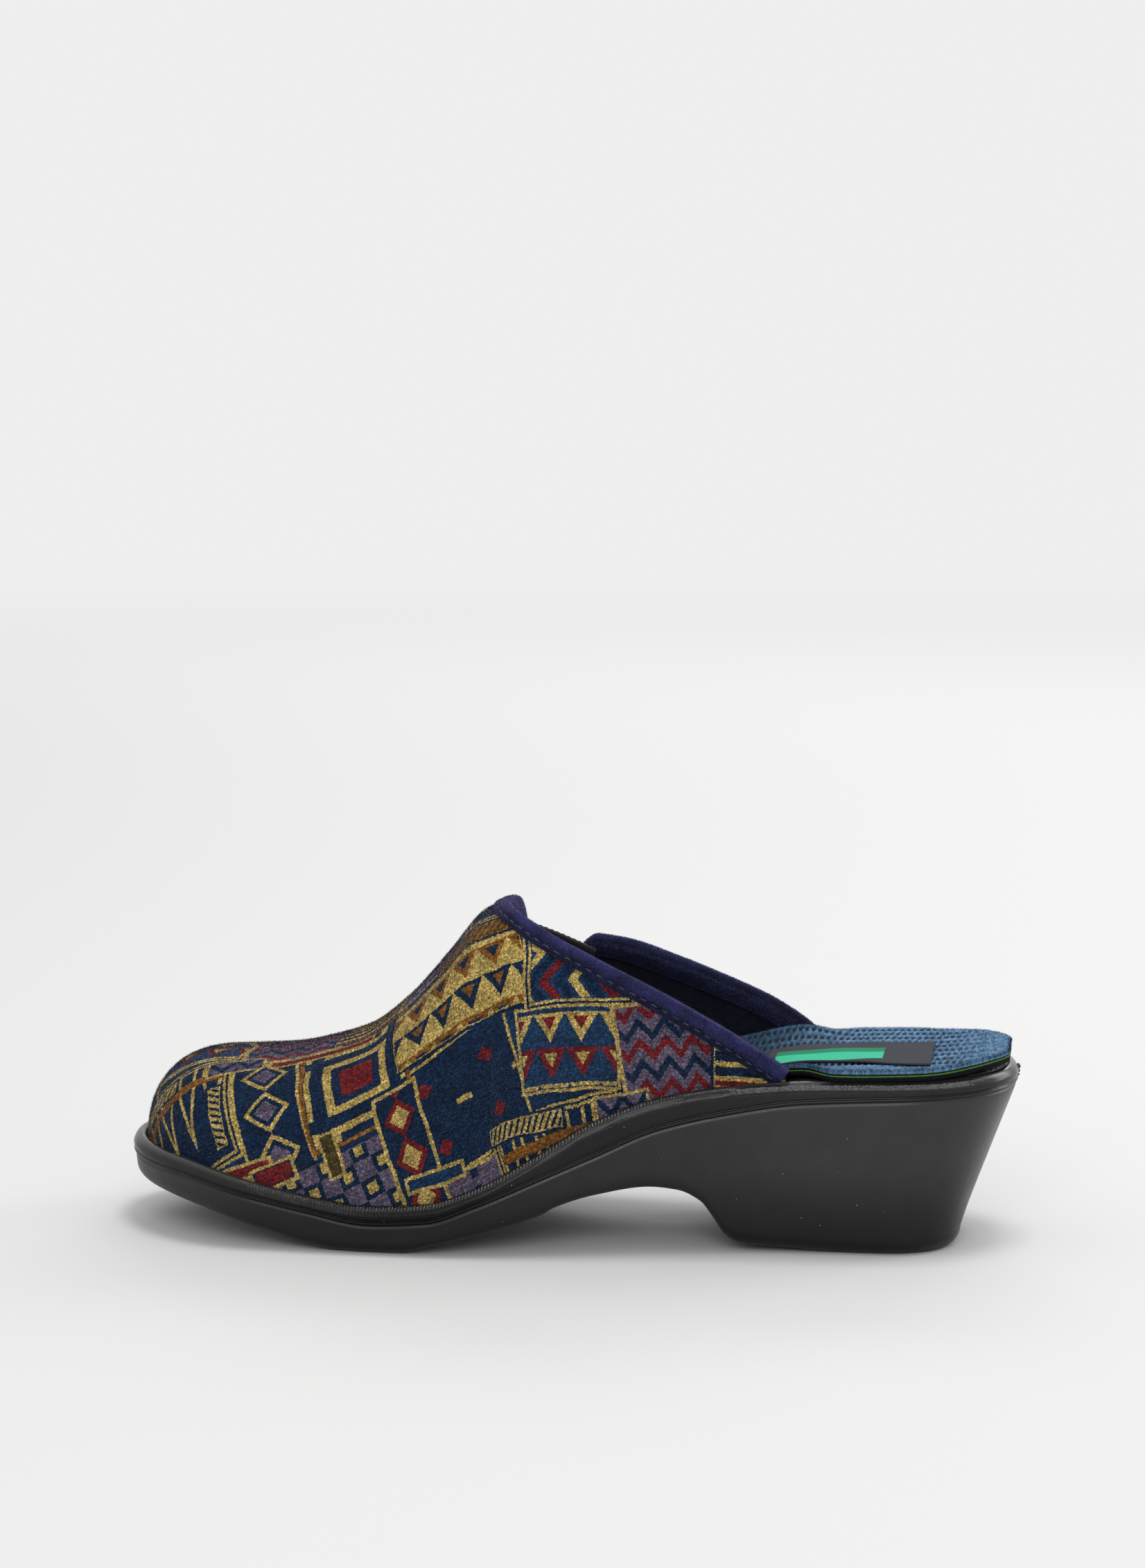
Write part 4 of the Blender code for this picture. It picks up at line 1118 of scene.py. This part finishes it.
def laid_flat(points, ridge):
    """Flat coordinates of a grid of cloth: threads keep their length as nearly as the form lets them.

    The ridge, along the last row, lies straight at the given coordinates.
    """
    tiny = 1e-6
    away = unit(points[:, :1, :2] - points[:, -1:, :2], tiny)
    lengths = np.linalg.norm(np.diff(points, axis=1), axis=-1)
    down = np.concatenate((np.cumsum(lengths[:, ::-1], axis=1)[:, ::-1], np.zeros((len(points), 1))), axis=1)
    flat = stacked(ridge[:, None] + down * away[..., 0], down * np.abs(away[..., 1]))
    ends = [(np.s_[:-1, :], np.s_[1:, :]), (np.s_[:, :-1], np.s_[:, 1:]),
            (np.s_[:-1, :-1], np.s_[1:, 1:]), (np.s_[:-1, 1:], np.s_[1:, :-1])]
    rests = [np.linalg.norm(points[b] - points[a], axis=-1) for a, b in ends]
    for _ in range(FLAT_ROUNDS):
        move = np.zeros_like(flat)
        for (a, b), rest in zip(ends, rests):
            gap = flat[b] - flat[a]
            now = np.maximum(np.linalg.norm(gap, axis=-1), tiny)
            pull = gap * (0.5 * (1 - rest / now))[..., None]
            move[a] += pull
            move[b] -= pull
        move[:, -1] = 0.0
        flat += move * FLAT_PACE
    return flat


def cloth_chart(station, turn_share, side):
    """Flat coordinates of the cloth on one half of the upper; a turn_share of 1 is on the ridge."""
    rows = shares(FLAT_ROWS)
    columns = np.unique(np.append(np.arange(0, len(station), FLAT_STRIDE), len(station) - 1))
    points = upper_point(station[columns, None], on_side(side, 0.5 * rows)[None, :])
    line = np.linspace(CROWN_START, LENGTH, 400)
    lengths = lengths_along(stacked(line, centre_line(line), crown_height(line)))
    ridge = CROWN_START + np.interp(np.maximum(station[columns], CROWN_START), line, lengths)
    flat = laid_flat(points, ridge)
    index = np.arange(len(station))
    chart = np.zeros(turn_share.shape + (3,))
    for axis in (0, 1):
        filled = np.stack([np.interp(index, columns, row) for row in flat[..., axis].T])
        for column in index:
            chart[column, :, axis] = np.interp(turn_share[column], rows, filled[:, column])
    chart[..., 1] *= 1 if side == OUTER else -1
    return chart


def upper_half(side):
    """Points of one half of the upper, column by column from its foot to its top, and its cloth chart."""
    front = station_of(np.linspace(0, angle_of(PEAK, INNER), FRONT_STEPS + 1))
    back = between(PEAK, COLLAR_END[side], shares(BACK_STEPS)[1:] ** CROWDING)
    station = np.concatenate((front, back))
    top = on_side(side, collar_turn(station, side))
    share = shares(SIDE_STEPS)
    points = upper_point(station[:, None], on_side(side, top[:, None] * share))
    chart = cloth_chart(station, 2 * top[:, None] * share, side)
    normal = unit(np.cross(np.gradient(points, axis=0), np.gradient(points, axis=1)), 1e-9)
    normal *= 1 if side == OUTER else -1
    tied = (1 - ramp(share, 1 - HELD, 1.0) * (station > PEAK)[:, None]) * ramp(share, 0.0, HELD)
    points = points - normal * (crease_depth(chart) * tied)[..., None]
    skirt = raised(points[:, :1], footbed_height(points[:, :1, 0]) + GAP)
    skirt_chart = (1 + SKIRT_REACH) * chart[:, :1] - SKIRT_REACH * chart[:, 1:2]
    return np.concatenate((skirt, points), axis=1), np.concatenate((skirt_chart, chart), axis=1)


def notch_outline():
    """The notch in the side view, from the top of its front edge to that of its rear edge."""
    return np.concatenate((
        [(NOTCH_FRONT[0][0], NOTCH_TOP)], corner_points(NOTCH_FRONT, 5), [NOTCH_FOOT_FRONT, NOTCH_FOOT_REAR],
        corner_points(NOTCH_REAR, 5), [(NOTCH_REAR[-1][0], NOTCH_TOP)]))


def inside_outline(outline, x, z):
    """Whether a point of the side view lies inside an outline."""
    inside = False
    for (x0, z0), (x1, z1) in zip(outline, np.roll(outline, -1, axis=0)):
        if (z0 > z) != (z1 > z) and x < x0 + (x1 - x0) * (z - z0) / (z1 - z0):
            inside = not inside
    return inside


def cut_notch(mesh):
    """Cuts the notch out of the upper's inner side, along its outline in the side view."""
    outline = notch_outline()
    bm = bmesh.new()
    bm.from_mesh(mesh)
    low, high = outline.min(0) - NOTCH_MARGIN, outline.max(0) + NOTCH_MARGIN

    def spot_of(face):
        return np.array(face.calc_center_median()) / MM + ORIGIN

    def close_faces():
        spots = [(face, spot_of(face)) for face in bm.faces]
        return [(face, x, z) for face, (x, y, z) in spots
                if y > NOTCH_NEAR and low[0] < x < high[0] and low[1] < z < high[1]]

    for start, end in zip(outline, outline[1:]):
        faces = [face for face, _, _ in close_faces()]
        edges = list({edge for face in faces for edge in face.edges})
        verts = list({vert for face in faces for vert in face.verts})
        spot = Vector(((start[0] - ORIGIN[0]) * MM, 0.0, start[1] * MM))
        normal = Vector((end[1] - start[1], 0.0, start[0] - end[0])).normalized()
        bmesh.ops.bisect_plane(bm, geom=faces + edges + verts, plane_co=spot, plane_no=normal, dist=1e-6)
    gone = [face for face, x, z in close_faces() if inside_outline(outline, x, z)]
    bmesh.ops.delete(bm, geom=gone, context="FACES")
    bm.to_mesh(mesh)
    bm.free()


def make_nap(side, points, chart, material):
    """The velour's pile over one half of the upper."""
    spots = scattered(points[:, 1:], chart[:, 1:], NAP.count, 1 if side == OUTER else -1)
    if side == INNER:
        outline = notch_outline()
        low, high = outline.min(0), outline.max(0)
        x, y, z = spots.root.T
        maybe = (y > NOTCH_NEAR) & (x > low[0]) & (x < high[0]) & (z > low[1])
        cut_away = np.zeros(len(x), bool)
        cut_away[maybe] = [inside_outline(outline, *spot) for spot in spots.root[maybe][:, ::2]]
        spots = Scatter(*(values[~cut_away] for values in spots))
    name = "upper_nap_outer" if side == OUTER else "upper_nap_inner"
    make_fibres(name, spots, NAP, material, "cloth")


def make_upper():
    """The printed upper with its lining and its pile."""
    halves = {side: upper_half(side) for side in (OUTER, INNER)}
    points, chart = (listed(*grids) for grids in zip(*halves.values()))
    columns, rows = halves[OUTER][0].shape[:2]
    faces = grid_faces(columns, rows)
    pile = velour("velour")
    upper = make_piece("upper_velour", points, [faces, faces[:, ::-1] + columns * rows],
                       [pile, lining("lining")], ("cloth", chart), ["upper"], outward=False)
    cut_notch(upper.data)
    shell = upper.modifiers.new("Wall", "SOLIDIFY")
    shell.thickness = UPPER_WALL * MM
    shell.offset = -1.0
    shell.use_even_offset = True
    shell.material_offset = 1
    shell.material_offset_rim = 1
    for side, half in halves.items():
        make_nap(side, *half, pile)


# Binding and its stitches
BINDING_STEP, FOLD_STEPS, NOTCH_STEPS = 0.6, 10, 16
STITCH_STEP, STITCH_LENGTH, STITCH_RADIUS = 3.5, 2.3, 0.17
STITCH_INSET, STITCH_DIP = 1.4, 0.3
STITCH_ARCH, STITCH_SINK, STITCH_THIN = 0.3, 0.06, 0.55     # STITCH_THIN: share of the radius at its ends
VELVET = Fibres(45000, 0.25, 0.55, 0.05, 0.8, 0.2)
VELVET_ROWS = 25            # rows of the tape's section that lie outside


def even_path(places, step):
    """Places along the upper's face, as stations and turns, respaced at even steps."""
    lengths = lengths_along(upper_point(places[:, 0], places[:, 1]))
    goals = np.linspace(0, lengths[-1], round(lengths[-1] / step) + 1)
    return np.interp(goals, lengths, places[:, 0]), np.interp(goals, lengths, places[:, 1]), goals


def collar_places(side, start, end, count=240):
    station = between(start, end, shares(count) ** 2)
    return stacked(station, collar_turn(station, side))


def notch_places(points):
    """Those points of the side view that lie below the collar, as places on the inner side."""
    lying = points[points[:, 1] < collar_height[INNER](points[:, 0])]
    return stacked(lying[:, 0], turn_at(lying[:, 0], lying[:, 1], INNER))


def notch_edge(corner, foot):
    """An edge of the notch in the side view, from its corner down to just above its foot."""
    share = NOTCH_STOP * shares(NOTCH_STEPS)[1:, None]
    return np.array(corner) * (1 - share) + np.array(foot) * share


def front_binding_places():
    outer = collar_places(OUTER, PEAK, COLLAR_END[OUTER] + TUCK)[::-1]
    edge = notch_edge(NOTCH_FRONT[-1], NOTCH_FOOT_FRONT)
    notch = notch_places(np.concatenate((corner_points(NOTCH_FRONT), edge)))
    inner = collar_places(INNER, PEAK, notch[0, 0] - CORNER_JOIN, 30)[1:]
    return np.concatenate((outer, inner, notch))


def rear_binding_places():
    edge = notch_edge(NOTCH_REAR[0], NOTCH_FOOT_REAR)
    notch = notch_places(np.concatenate((edge[::-1], corner_points(NOTCH_REAR))))
    collar = collar_places(INNER, PEAK, COLLAR_END[INNER] + TUCK)
    return np.concatenate((notch, collar[collar[:, 0] > notch[-1, 0] + CORNER_JOIN]))


class Tape:
    """A folded tape along a path on the upper's edge; notch_end tells which end lies in the notch."""

    def __init__(self, places, notch_end):
        self.station, self.turn, self.goals = even_path(places, BINDING_STEP)
        self.normal = upper_normal(self.station, self.turn)
        along = unit(np.gradient(upper_point(self.station, self.turn), axis=0))
        self.inward = unit(np.cross(self.normal, along))
        from_notch = self.goals[::-1] if notch_end else self.goals
        widening = ramp(from_notch, NARROW_FROM, NARROW_TO)
        self.outer = self.room_above_lip(between(NOTCH_WIDTH, BINDING_WIDTH, widening))
        edge_room = EDGE_ROOM[OUTER if notch_end else INNER]
        self.room = between(NOTCH_ROOM, edge_room, ramp(from_notch, ROOMY_TO, SNUG_FROM))

    def room_above_lip(self, reach):
        """The reach along the upper's face, shortened to stay above the sole's lip."""
        while True:
            foot = upper_point(*slid(self.station, self.turn, self.inward, reach))
            low = (foot[:, 2] <= lip_height(foot[:, 0]) + LIP_ROOM) & (reach > SHORTEST_LEG)
            if not low.any():
                return reach
            reach[low] -= LEG_STEP

    def at(self, below, out):
        """Points a distance below the edge, along the face, and a distance off it."""
        below, out = (np.broadcast_to(values, self.station.shape) for values in (below, out))
        lying = upper_offset(*slid(self.station, self.turn, self.inward, np.maximum(below, 0.0)), out)
        return lying + self.inward * np.minimum(below, 0.0)[:, None]

    def rows(self):
        """Rows of points around the tape's section, from its outer foot over the fold and back."""
        face, inside = GAP + TAPE, -(UPPER_WALL + LINING_GAP)
        back = inside - TAPE
        middle, half = (face + back) / 2, (face - back) / 2
        outer, inner = self.outer, np.minimum(self.outer, BINDING_INSIDE)
        stitch = outer - STITCH_INSET
        section = [                             # distances below the upper's edge and off its face
            (outer - 0.1, GAP + 0.05), (outer, GAP + 0.35), (outer - 0.05, face - 0.45),
            (outer - 0.45, face - 0.1), (outer - 1.1, face), (stitch + 0.3, face - STITCH_DIP * 0.7),
            (stitch, face - STITCH_DIP), (stitch - 0.35, face - STITCH_DIP * 0.6),
        ]
        for share in (0.2, 0.45, 0.7, 0.9):
            section.append((stitch * (1 - share), face + TAPE_SWELL * math.sin(math.pi * share * 0.9)))
        for bend in math.pi * shares(FOLD_STEPS):
            above = (self.room + TAPE) * math.sin(bend)
            section.append((-above, middle + (half + FOLD_SWELL) * math.cos(bend)))
        section += [
            (inner * 0.5, back), (inner - 0.5, back), (inner - 0.05, back + 0.4), (inner, inside - 0.05),
            (inner * 0.5, inside), (-self.room, inside), (-self.room, GAP), (outer * 0.5, GAP),
        ]
        return [self.at(below, out) for below, out in section]


def make_binding(name, places, notch_end, node, material):
    """A run of the velvet tape, closed at its ends, and its pile."""
    tape = Tape(places, notch_end)
    rows = tape.rows()
    points = np.stack(rows + rows[:1])
    around = running(np.linalg.norm(np.diff(points, axis=0), axis=2).mean(1))
    chart = stacked(tape.goals[None, :], around[:, None], 0.0)
    count = len(tape.goals)
    faces = [grid_faces(len(points), count)]
    ends = (0, count - 1)
    for number, end in enumerate(ends):
        ring = np.arange(len(points)) * count + end
        middle = np.full(len(rows), len(points) * count + number)
        faces.append(np.stack((ring[:-1], ring[1:], middle), axis=1))
    mesh_points = listed(points, *(points[:-1, end].mean(0) for end in ends))
    mesh_chart = listed(chart, *(chart[0, end] for end in ends))
    make_piece(name, mesh_points, faces, [material], ("tape", mesh_chart), [node])
    spots = scattered(points[:VELVET_ROWS], chart[:VELVET_ROWS], VELVET.count)
    make_fibres(name.replace("tape", "pile"), spots, VELVET, material, "tape")
    return tape


def make_stitches(name, tape, material):
    """Thread that shows in short lengths along the tape's foot."""
    rings, sides = 5, 6
    starts = np.arange(STITCH_STEP, tape.goals[-1] - STITCH_STEP, STITCH_STEP)
    share = shares(rings - 1)
    goals = starts[:, None] + STITCH_LENGTH * (share - 0.5)
    base = tape.at(tape.outer - STITCH_INSET, GAP + TAPE - STITCH_DIP)
    spot, normal, inward = (
        stacked(*(np.interp(goals, tape.goals, axis) for axis in values.T))[:, :, None]
        for values in (base, tape.normal, tape.inward))
    swell = np.sin(math.pi * share)[:, None, None]
    bend = (2 * math.pi * np.arange(sides) / sides)[:, None]
    radius = STITCH_RADIUS * between(STITCH_THIN, 1.0, swell)
    lift = STITCH_ARCH * swell - STITCH_SINK + radius * np.sin(bend)
    points = spot + normal * lift + inward * radius * np.cos(bend)
    first = np.arange(len(starts))[:, None] * rings * sides
    ring = np.arange(rings - 1).repeat(sides) * sides
    side = np.tile(np.arange(sides), rings - 1)
    after = (side + 1) % sides
    corners = np.stack((ring + side, ring + after, ring + sides + after, ring + sides + side), axis=1)
    tubes = (first[:, :, None] + corners[None]).reshape(-1, 4)
    ends = [first + np.arange(sides)[::-1], first + (rings - 1) * sides + np.arange(sides)]
    make_piece(name, points, [tubes] + ends, [material])


def make_gore():
    """Ribbed elastic behind the notch."""
    across, down = (shares(steps) for steps in GORE_STEPS)
    top, foot = (between(*np.array(ends), across[:, None])[:, None] for ends in (GORE_TOP, GORE_FOOT))
    station, height = np.moveaxis(between(foot, top, down[None, :, None]), -1, 0)
    turn = turn_at(station, height, INNER)
    rib = GORE_RIB_HEIGHT * np.cos(across * math.pi * 2 * GORE_RIBS)[:, None]
    front = upper_offset(station, turn, rib - GORE_DEPTH - GORE_SETBACK)
    back = upper_offset(station, turn, -rib * GORE_BACK_SHARE - GORE_DEPTH - GORE_THICKNESS)
    charts = [stacked(station, height, 0.0)] * 2
    closed_sheet("gore_elastic", front, back, elastic("elastic"), "cloth", charts, ["gore"])


# Insole
FUZZ = Fibres(36000, 0.25, 0.7, 0.04, 1.0, 0.2)
FUZZ_SHOWN, FUZZ_WORN, FUZZ_EDGE = (150.0, 165.0), (215.0, 245.0), (0.3, 1.2)
FUZZ_LEAST, FUZZ_AT_HEEL, FUZZ_AT_EDGE = 0.25, 0.5, 6.0
HIDDEN_FROM, SHOWN_FROM, ROUND_FROM = 9.0, 96.0, 252.0      # stations where the mesh changes its step
HIDDEN_STEP, ROUND_STEPS, EDGE_CROWDING = 2.5, 13, 0.35
Layer = namedtuple("Layer", "bottom thickness step across roll pitted")
BOARD = Layer(0.0, BASE_THICKNESS, 2.0, 40, 0.1, 0.0)
KNIT = Layer(BASE_THICKNESS + GAP, COVER_THICKNESS, 0.46, 120, 0.7, 1.0)


def insole_inset(angle):
    """How far the insole's edge lies inside the sole's outline."""
    station = station_of(angle)
    end = np.where(np.sin(angle) > 0, COLLAR_END[INNER], COLLAR_END[OUTER])
    inside = between(FORE_INSET, WAIST_INSET, ramp(station, *WAIST))
    return between(inside, HEEL_INSET, ramp(station - end, *HEEL))


def insole_grid(station, across):
    """Plan of the insole on lines across the foot, and the distance of each point from its edge."""
    angle = angle_of(station, INNER)
    left, right = (inset_plan(side * angle, insole_inset(side * angle)) for side in (OUTER, INNER))
    even = shares(across)
    share = (1 - np.cos(math.pi * even)) / 2 * EDGE_CROWDING + even * (1 - EDGE_CROWDING)
    plan = left[:, None] * (1 - share[None, :, None]) + right[:, None] * share[None, :, None]
    to_side = np.linalg.norm(right - left, axis=1)[:, None] * np.minimum(share, 1 - share)[None]
    to_end = np.minimum(station - FORE_INSET, INSOLE_END - station)[:, None]
    return plan, np.minimum(to_side, np.maximum(to_end, 0.0))


def insole_level(plan, from_edge):
    """Height of the insole's underside."""
    station, side = plan[..., 0], plan[..., 1]
    lift = HEEL_LIFT * ramp(station, *LIFT)
    cup = HEEL_CUP * ramp(station, *CUP) * (1 - ramp(from_edge, 0.0, CUP_BAND))
    arch = ARCH_LIFT * ramp(station, *ARCH_RISE) * (1 - ramp(station, *ARCH_FALL)) * ramp(side, *ARCH_SIDE)
    curled = ramp(1.0 - np.minimum(np.abs(station - CURL_STATION) / CURL_REACH, 1.0), 0.0, 1.0)
    curl = EDGE_CURL * curled * np.maximum(0.0, 1 - from_edge / CURL_BAND)
    return footbed_height(station) + GAP + lift + cup + arch + curl


def pits(plan):
    """1 in the middle of each of the knit's pits and 0 outside them; heel and outer edge are smoother."""
    row = np.floor(plan[..., 1] / PIT_ACROSS)
    y = (plan[..., 1] / PIT_ACROSS - row - 0.5) * PIT_ACROSS
    x = plan[..., 0] / PIT_ALONG + 0.5 * (row % 2)
    x = (x - np.floor(x) - 0.5) * PIT_ALONG
    inside = np.maximum(0.0, 1 - (x / PIT_HALF[0]) ** 2 - (y / PIT_HALF[1]) ** 2)
    return inside * (1 - HEEL_WEAR * ramp(plan[..., 0], *WORN_PITS)) * ramp(plan[..., 1], *SMOOTH_STRIP)


def insole_layer(name, layer, slot, material):
    """One layer of the insole, which takes the place of the node with its slot's name.

    The third number of its chart is the depth of a pit in the knit, and 1 under the board.
    """
    heel = between(INSOLE_END, ROUND_FROM, shares(ROUND_STEPS)[::-1] ** 2)
    station = np.concatenate((np.arange(HIDDEN_FROM, SHOWN_FROM, HIDDEN_STEP),
                              np.arange(SHOWN_FROM, ROUND_FROM, layer.step), heel))
    plan, from_edge = insole_grid(station, layer.across)
    under = insole_level(plan, from_edge) + layer.bottom
    flatness = 1 - np.clip(from_edge / EDGE_ROLL, 0, 1)
    rounding = layer.roll * (1 - np.sqrt(np.clip(1 - flatness ** 2, 0, 1)))
    pit = pits(plan) * ramp(from_edge, *PIT_MARGIN) * layer.pitted
    front = raised(plan, under + layer.thickness - rounding - PIT_DEPTH * pit)
    back = raised(plan, under + rounding * UNDER_ROLL)
    charts = [raised(plan, pit), raised(plan, 1.0 - layer.pitted)]
    piece = closed_sheet(name, front, back, material, "plan", charts, [slot])
    if layer.pitted:
        at, edge = plan[:-1, :-1, 0], from_edge[:-1, :-1]
        wear_and_painted_shade = FUZZ_LEAST + FUZZ_AT_HEEL * ramp(at, *FUZZ_WORN) + FUZZ_AT_EDGE * (1 - ramp(edge, *FUZZ_EDGE))
        spots = scattered(front, charts[0], FUZZ.count, 1, wear_and_painted_shade * ramp(at, *FUZZ_SHOWN))
        make_fibres("insole_fuzz", spots, FUZZ, material, "plan")
    return piece


def make_insole():
    """The insole's base, its knit cover and the label, which lies on the knit in soft waves."""
    base = insole_layer("insole_board", BOARD, "insole_base", board("board"))
    cover = insole_layer("insole_knit", KNIT, "insole_cover", knit("knit"))
    station = np.linspace(*LABEL_STATIONS, LABEL_STEPS[0] + 1)
    outer = between(*LABEL_OUTER, ramp(station, *LABEL_FLARE))
    plan = stacked(station[:, None], between(outer[:, None], LABEL_INNER, shares(LABEL_STEPS[1])))
    waves = [np.sin(plan[..., axis] / LABEL_WAVE_SCALES[axis]) for axis in (0, 1)]
    level = insole_level(plan, np.full(plan.shape[:2], CURL_BAND)) + KNIT.bottom + COVER_THICKNESS + GAP
    level = level + LABEL_WAVE * waves[0] * waves[1] - LABEL_SINK
    charts = [stacked(plan[..., 0] - LABEL_STATIONS[0], LABEL_INNER - plan[..., 1], 0.0)] * 2
    label = closed_sheet("insole_woven_label", raised(plan, level + LABEL_THICKNESS), raised(plan, level),
                         woven_label("woven_label"), "weave", charts, ["insole_label"])


# Stage, in metres
FLOOR_RADIUS, FLOOR_CORNERS, FADE_FROM = 2.4, 96, 1.1   # the floor fades into the even background
FLOOR_WHITE = (0.520, 0.520, 0.518)
BACKGROUND = 0.86
LIGHTS = table(
    "name at aim size power",
    ("overhead", (0.15, 0.0, 1.6), (0.0, 0.0, 0.0), (0.6, 0.45), 11.0),
    ("front", (0.1, -1.6, 0.85), (0.0, 0.0, 0.03), (1.0, 0.8), 12.0),
    ("heel_side", (1.25, 0.8, 0.6), (0.05, 0.0, 0.05), (0.7, 0.8), 7.0),
    ("behind", (0.1, 1.9, 1.1), (0.0, 0.6, 0.0), (1.6, 0.6), 14.0),
)


def make_floor():
    """A pale matt floor that fades out towards its edge."""
    finish = Finish("floor_paper", Roughness=0.8, Specular_IOR_Level=0.15)
    place = finish.place()
    finish.colour(finish.dimmed(FLOOR_WHITE, varied(finish.noise(place, 1.2, 3.0), 0.99, 1.0)))
    away = finish.node("VectorMath", {0: place}, operation="LENGTH").outputs["Value"]
    far = spread(Field(finish.tree, away), FADE_FROM / MM, FLOOR_RADIUS / MM)
    clear = finish.node("BsdfTransparent", {})
    faded = finish.node("MixShader", {0: far, 1: finish.shader.outputs[0], 2: clear.outputs[0]})
    feed(finish.tree, faded.outputs[0], finish.tree.nodes["Material Output"].inputs["Surface"])
    around = 2 * math.pi * shares(FLOOR_CORNERS)[:-1]
    corners = FLOOR_RADIUS * stacked(np.cos(around), np.sin(around), 0.0)
    mesh = bpy.data.meshes.new("floor")
    mesh.from_pydata(corners.tolist(), [], [range(FLOOR_CORNERS)])
    mesh.materials.append(finish.material)
    add_object("floor", mesh)


def make_stage():
    """The floor, the lights, the even background and the camera."""
    make_floor()
    for row in LIGHTS:
        light = bpy.data.lights.new(row.name, "AREA")
        light.shape = "RECTANGLE"
        light.size, light.size_y = row.size
        light.energy = row.power
        lamp = add_object(row.name, light)
        lamp.location = row.at
        lamp.rotation_euler = (Vector(row.aim) - Vector(row.at)).to_track_quat("-Z", "Y").to_euler()
        lamp.visible_camera = False
    world = bpy.data.worlds.new("studio_air")
    world.use_nodes = True
    air = world.node_tree.nodes["Background"].inputs
    air["Color"].default_value = (1.0, 1.0, 1.0, 1.0)
    air["Strength"].default_value = BACKGROUND
    bpy.context.scene.world = world
    bpy.context.scene.view_settings.view_transform = "Standard"
    camera = add_object("camera", bpy.data.cameras.new("camera"))
    camera.data.lens = CAMERA_LENS
    camera.location = CAMERA_AT
    camera.rotation_euler = CAMERA_TURN
    bpy.context.scene.camera = camera


make_stage()
make_sole()
make_flash()
make_upper()
tape_velvet, seam_thread = velvet("velvet"), thread("thread")
front_tape = make_binding("binding_front_tape", front_binding_places(), True, "binding_front", tape_velvet)
rear_tape = make_binding("binding_rear_tape", rear_binding_places(), False, "binding_rear", tape_velvet)
make_stitches("binding_front_stitches", front_tape, seam_thread)
make_stitches("binding_rear_stitches", rear_tape, seam_thread)
make_gore()
make_insole()
